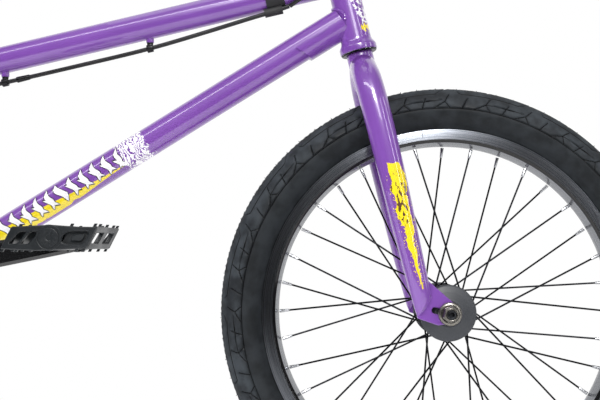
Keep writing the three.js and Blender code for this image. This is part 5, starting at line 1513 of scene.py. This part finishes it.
def pedal_cage():
    """Right pedal's cage: side walls with pockets, open rails along both ends, ribs and pins."""
    inner, outer = -PEDAL_INNER_Y, -PEDAL_END_Y
    half, tall = PEDAL_HALF_LENGTH, PEDAL_HALF_HEIGHT
    bulge = [(-half, -tall), (-half + 8, -tall - 0.4), (-6, -tall - 1.8), (half - 6, -tall + 0.4),
             (half, -tall), (half, tall - 0.6), (half - 20, tall - 0.2), (10, tall + 0.6), (-4, tall + 1.6),
             (-26, tall + 0.6), (-half, tall - 0.4)]
    outline = rounded(bulge, 1.5)
    open_side = [slot_hole(-35, -26.5, 6.0), slot_hole(-23.5, -15, 6.0)]
    pocket = rounded([(13, -3.5), (20, -6.4), (38, -6.4), (38, 6.4), (20, 6.4), (13, 4.5)], 5.0)
    walls = [plate(outline, outer + 0.5, outer + 7, 1.0, [*open_side, pocket]),
             plate(rounded(rectangle(11, 39, -8, 8), 3), outer + 5, outer + 8, 0.8),
             plate(rounded(rectangle(22, 34, -3.4, 3.4), 2.5), outer + 2.6, outer + 6, 0.8),
             plate(outline, inner - 6, inner, 1.0, [slot_hole(-38, -14, 6.0), slot_hole(14, 33, 6.2)])]
    rail_windows = [rounded([(y, -5.4), (y + 30, -5.4), (y + 34, 5.4), (y + 4, 5.4)], 2)
                    for y in (outer + 9, outer + 55)]
    rail_outline = rounded(rectangle(outer + 1, inner - 1, -tall, tall), 1.0)
    rail = plate(rail_outline, -half, -half + 5.5, 0.9, rail_windows)
    rail = (np.stack([rail[0][:, 1], rail[0][:, 0], rail[0][:, 2]], 1), rail[1])
    rails = merged(rail, (rail[0] * [-1, 1, 1], rail[1]))
    ribs = [block((x - 1.8, x + 1.8), (outer + 5, inner - 4), (-8, 8), 0.8)
            for x in (-36, -26, -13.5, 13.5)]
    ribs += [block((-half + 3, 26), (y - 1.7, y + 1.7), (-8, 8), 0.8) for y in (outer + 36, outer + 68)]
    pins = []
    for places, height in ((PEDAL_PINS_ABOVE, tall + 0.8), (PEDAL_PINS_BELOW, -tall - 0.8)):
        for x, reach in places:
            y = outer + reach
            pins.append(block((x - 1.4, x + 1.4), (y - 1.4, y + 1.4), (height - 2.0, height + 2.0), 0.3))
    vertices, faces = merged(*walls, rails, *ribs, *pins)
    return vertices + vertices[:, 2:] * [PEDAL_SHEAR, 0, 0] + [0, 0, PEDAL_LIFT], faces


def pedal_body():
    """The cage on its round barrel, with a ringed cap at the outer end."""
    inner, outer = -PEDAL_INNER_Y, -PEDAL_END_Y
    barrel = disc(10.6, outer + 1.2, inner - 1.0, 1.2, 56)
    cap = turned([(0, outer + 0.6), (2.6, outer + 0.6), (2.9, outer), (9.6, outer - 0.4),
                  (9.9, outer + 1.6), (11.1, outer + 1.6), (11.4, outer), (12.9, outer), (12.9, outer + 4),
                  (0, outer + 4)], 0.35, 56)
    studs = [moved(block((4.0, 8.4), (outer - 0.5, outer + 0.6), (-0.8, 0.8), 0.2),
                   turned_about_y(i * TAU / 9)) for i in range(9)]
    lifted = at([0, 0, PEDAL_LIFT])
    return merged(pedal_cage(), barrel, moved(merged(cap, *studs), lifted))


def cranks():
    spindle = disc(9.5, -77, 77, 0.6, 40)
    piece("spindle_dark", spindle, DARK_STEEL, "crank", "crank_spindle", at(BOTTOM_BRACKET))
    arm = crank_arm()
    axle = merged(disc(7, -80, -61, 0.6, 36), disc(9.5, -82.4, -78.3, 0.8, 36))
    body = pedal_body()
    for name, side, angle in (("right", lambda part: part, CRANK_ANGLE),
                              ("left", mirrored, CRANK_ANGLE + math.pi)):
        forward = [math.cos(angle), 0, math.sin(angle)]
        place = frame_at(BOTTOM_BRACKET, forward, np.cross(forward, [0, 1, 0]))
        piece(f"crank_arm_forged_{name}", side(arm), BLACK, "crank", f"crank_arm_{name}", place)
        pedal_place = at(row(JOINTS[f"pedal_spin_{name}"]["pos_m"]))
        piece(f"pedal_axle_steel_{name}", side(axle), BRIGHT_STEEL, "crank", f"pedal_axle_{name}",
              pedal_place)
        piece(f"pedal_platform_{name}", side(body), PEDAL_PLASTIC, f"pedal_{name}", f"pedal_{name}",
              pedal_place)


# ---- Rear brake -----------------------------------------------------------------------------
def brake_arms():
    """Left arm with its pivot bolt, curved bar, pad holder and pad; the right arm is its mirror."""
    def on_arm(along, lift, y=BRAKE_ARM_Y):
        return stay_point(BRAKE_PIVOT_RADIUS + along, y, lift)

    eye = rod(on_arm(0, 10.3), on_arm(0, 22.3), 8, bevel=1)
    bolt = rod(on_arm(0, 26.2), on_arm(0, 30), 5.2, bevel=0.8, sides=6)
    bar = swept(smooth_path([on_arm(0, 16), on_arm(30, 18, 43), on_arm(70, 24, 40),
                             on_arm(BRAKE_ARM_REACH, 30, 37)]), 5.2, 28)
    centre = stay_point(202.5, 0, 17)
    outward = unit(centre - REAR_AXLE)
    tangent = np.array([outward[2], 0, -outward[0]])
    pad_place = frame_at(centre, tangent, outward)
    pad = moved(block((-26.5, 26.5), (19.6, 25.5), (-4.5, 4.5), 1.0), pad_place)
    holder = moved(block((-24, 24), (25.4, 28.2), (-3.4, 3.4), 0.8), pad_place)
    grooves = [moved(block((x - 0.8, x + 0.8), (19.45, 21), (-4.6, 4.6), 0.1), pad_place)
               for x in (-12, 0, 12)]
    stud = rod([centre[0], 27, centre[2]], [centre[0], 50, centre[2]], 4, bevel=0.6)
    nut = rod([centre[0], 44, centre[2]], [centre[0], 50.5, centre[2]], 6.4, bevel=0.8, sides=6)
    for name, side in SIDES:
        body = f"brake_arm_{name}"
        piece(f"brake_arm_black_{name}", side(merged(eye, bar, stud, holder)), ALLOY, body, body)
        piece(f"brake_pad_{name}", side(merged(pad, *grooves)), GRIP_RUBBER, body)
        piece(f"brake_nuts_{name}", side(nut), BRIGHT_STEEL, body)
        piece(f"brake_pivot_bolt_{name}", side(bolt), BRIGHT_STEEL, "frame")


def brake_link():
    """The bent guide tube, bellows and inner wire that join the housing to the two arms."""
    top = BRAKE_PIVOT_RADIUS + BRAKE_ARM_REACH
    spine = [NOODLE_POINT, stay_point(top + 16, -39, 29), stay_point(top + 6, -37, 31),
             stay_point(top + 1, -28, 31.5), stay_point(top, -17, 31.5)]
    guide = piece("brake_guide_tube", swept(smooth_path(spine), 2.4, 24), BRIGHT_STEEL, "frame")
    guide.parent = None
    guide.matrix_world = Matrix.Identity(4)
    stay_point(top + 4, -37, 30) * MM
    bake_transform(guide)
    folds = [(2.7, -18)]
    for fold in range(6):
        y = -17.5 + 4 * fold
        folds += [(3.5, y), (5.0 - 0.2 * fold, y + 2), (3.5, y + 4)]
    bellows = turned(folds + [(2.7, 7)], 0.6, 32)
    piece("brake_bellows", bellows, GRIP_RUBBER, "brake_arm_right", place=at(stay_point(top, 0, 31.5)))
    wire = rod(stay_point(top, -4, 31.5), stay_point(top, 36, 31.5), 0.9, bevel=0.2, sides=16)
    anchor = rod(stay_point(top - 4, 37, 36), stay_point(top - 4, 37, 42), 4.6, bevel=0.8, sides=6)
    piece("brake_inner_wire", merged(wire, anchor), BRIGHT_STEEL, "brake_arm_left")


frame_tubes()
head_tube()
welds()
gusset()
bottom_bracket()
rear_ends()
rear_cable()
strap()
front_cable()
saddle()
seat_support()
fork()
stem()
handlebar()
grips()
brake_lever()
TYRE_PART = tyre()
HAIRS_PART = vent_hairs()
wheel("front", FRONT_AXLE, 31, 31, hub_profile(31, 31, 13, 38, 38, 5.4))
wheel("rear", REAR_AXLE, 26, 31, hub_profile(26, 31, 16, 35.8, 50, 7.4))
front_axle()
rear_axle()
sprocket()
chain()
cranks()
brake_arms()
brake_link()


# ---- Stage, light and camera ----------------------------------------------------------------
FLOOR_HALF = (1.6, 0.95)
LIGHTS = [
    ("overhead_strip", (-0.5, -1.7, 2.1), (0.1, 0, 0.5), (3.0, 0.2), 17, None),
    ("right_strip", (2.1, -1.7, 1.1), (0.4, 0, 0.45), (0.14, 1.7), 9, None),
    ("side_strip", (2.9, -0.3, 1.1), (0.4, 0, 0.45), (0.3, 1.8), 9, None),
    ("wheel_box", (0.8, -2.1, 1.5), (0.47, 0, 0.45), (0.6, 0.8), 8, None),
    ("left_box", (-1.5, -1.7, 1.1), (0.2, 0, 0.4), (0.5, 1.3), 26, "glossy"),
    ("rim_strip", (0.5, -1.9, 1.75), (0.5, 0, 0.45), (0.5, 0.7), 60, "diffuse"),
    ("top_box", (0.2, 0.1, 3.2), (0.2, 0, 0.4), (2.4, 1.6), 12, None),
]
WORLD_IN_GLOSS = 0.38
CAMERA_PLACE = (0.3344, -1.1098, 0.3294)
CAMERA_TURN = (math.radians(92.95), 0, math.radians(1.45))
CAMERA_LENS = 57.1
CAMERA_SENSOR = 36.0


def stage():
    mesh = bpy.data.meshes.new("floor")
    x, y = FLOOR_HALF
    corners = [(*corner, 0) for corner in rectangle(-x, x, -y, y)]
    mesh.from_pydata(corners, [], [(0, 1, 2, 3)])
    mesh.materials.append(stage_look())
    floor = bpy.data.objects.new("floor", mesh)
    bpy.context.scene.collection.objects.link(floor)


def area_light(name, place, target, size, power):
    light = bpy.data.lights.new(name, "AREA")
    light.shape = "RECTANGLE"
    light.size, light.size_y = size
    light.energy = power
    obj = bpy.data.objects.new(name, light)
    obj.location = place
    obj.rotation_euler = (Vector(target) - Vector(place)).to_track_quat("-Z", "Y").to_euler()
    bpy.context.scene.collection.objects.link(obj)
    return obj


def lights():
    for name, place, target, size, power, unseen_by in LIGHTS:
        light = area_light(name, place, target, size, power)
        if unseen_by:
            setattr(light, f"visible_{unseen_by}", False)


def world():
    """White all round for the camera and for soft light, dim towards the sides in reflections."""
    studio = bpy.data.worlds.new("studio")
    bpy.context.scene.world = studio
    studio.use_nodes = True
    graph = Graph(studio.node_tree)
    background = graph.tree.nodes["Background"]
    _, away, up = graph.split(graph.node("TexCoord", output="Generated"))
    sides = graph.node("MapRange", {0: up, 1: 0.0, 2: 0.9, 3: 0.05, 4: 0.35})
    reflected = graph.node("MapRange", {0: away, 1: 0.15, 2: 0.5, 3: sides, 4: 1.0})
    glossy, seen = (graph.node("LightPath", output=f"Is {kind} Ray") for kind in ("Glossy", "Camera"))
    for_glossy = graph.node("MapRange", {0: glossy, 3: WORLD_IN_GLOSS, 4: reflected})
    graph.wire(graph.node("MapRange", {0: seen, 3: for_glossy, 4: 1.0}), background.inputs["Strength"])
    background.inputs["Color"].default_value = (1, 1, 1, 1)


def camera():
    data = bpy.data.cameras.new("camera")
    data.sensor_width = CAMERA_SENSOR
    data.lens = CAMERA_LENS
    obj = bpy.data.objects.new("camera", data)
    obj.location = CAMERA_PLACE
    obj.rotation_euler = CAMERA_TURN
    bpy.context.scene.collection.objects.link(obj)
    bpy.context.scene.camera = obj


stage()
lights()
world()
camera()
bpy.context.scene.view_settings.view_transform = "Standard"
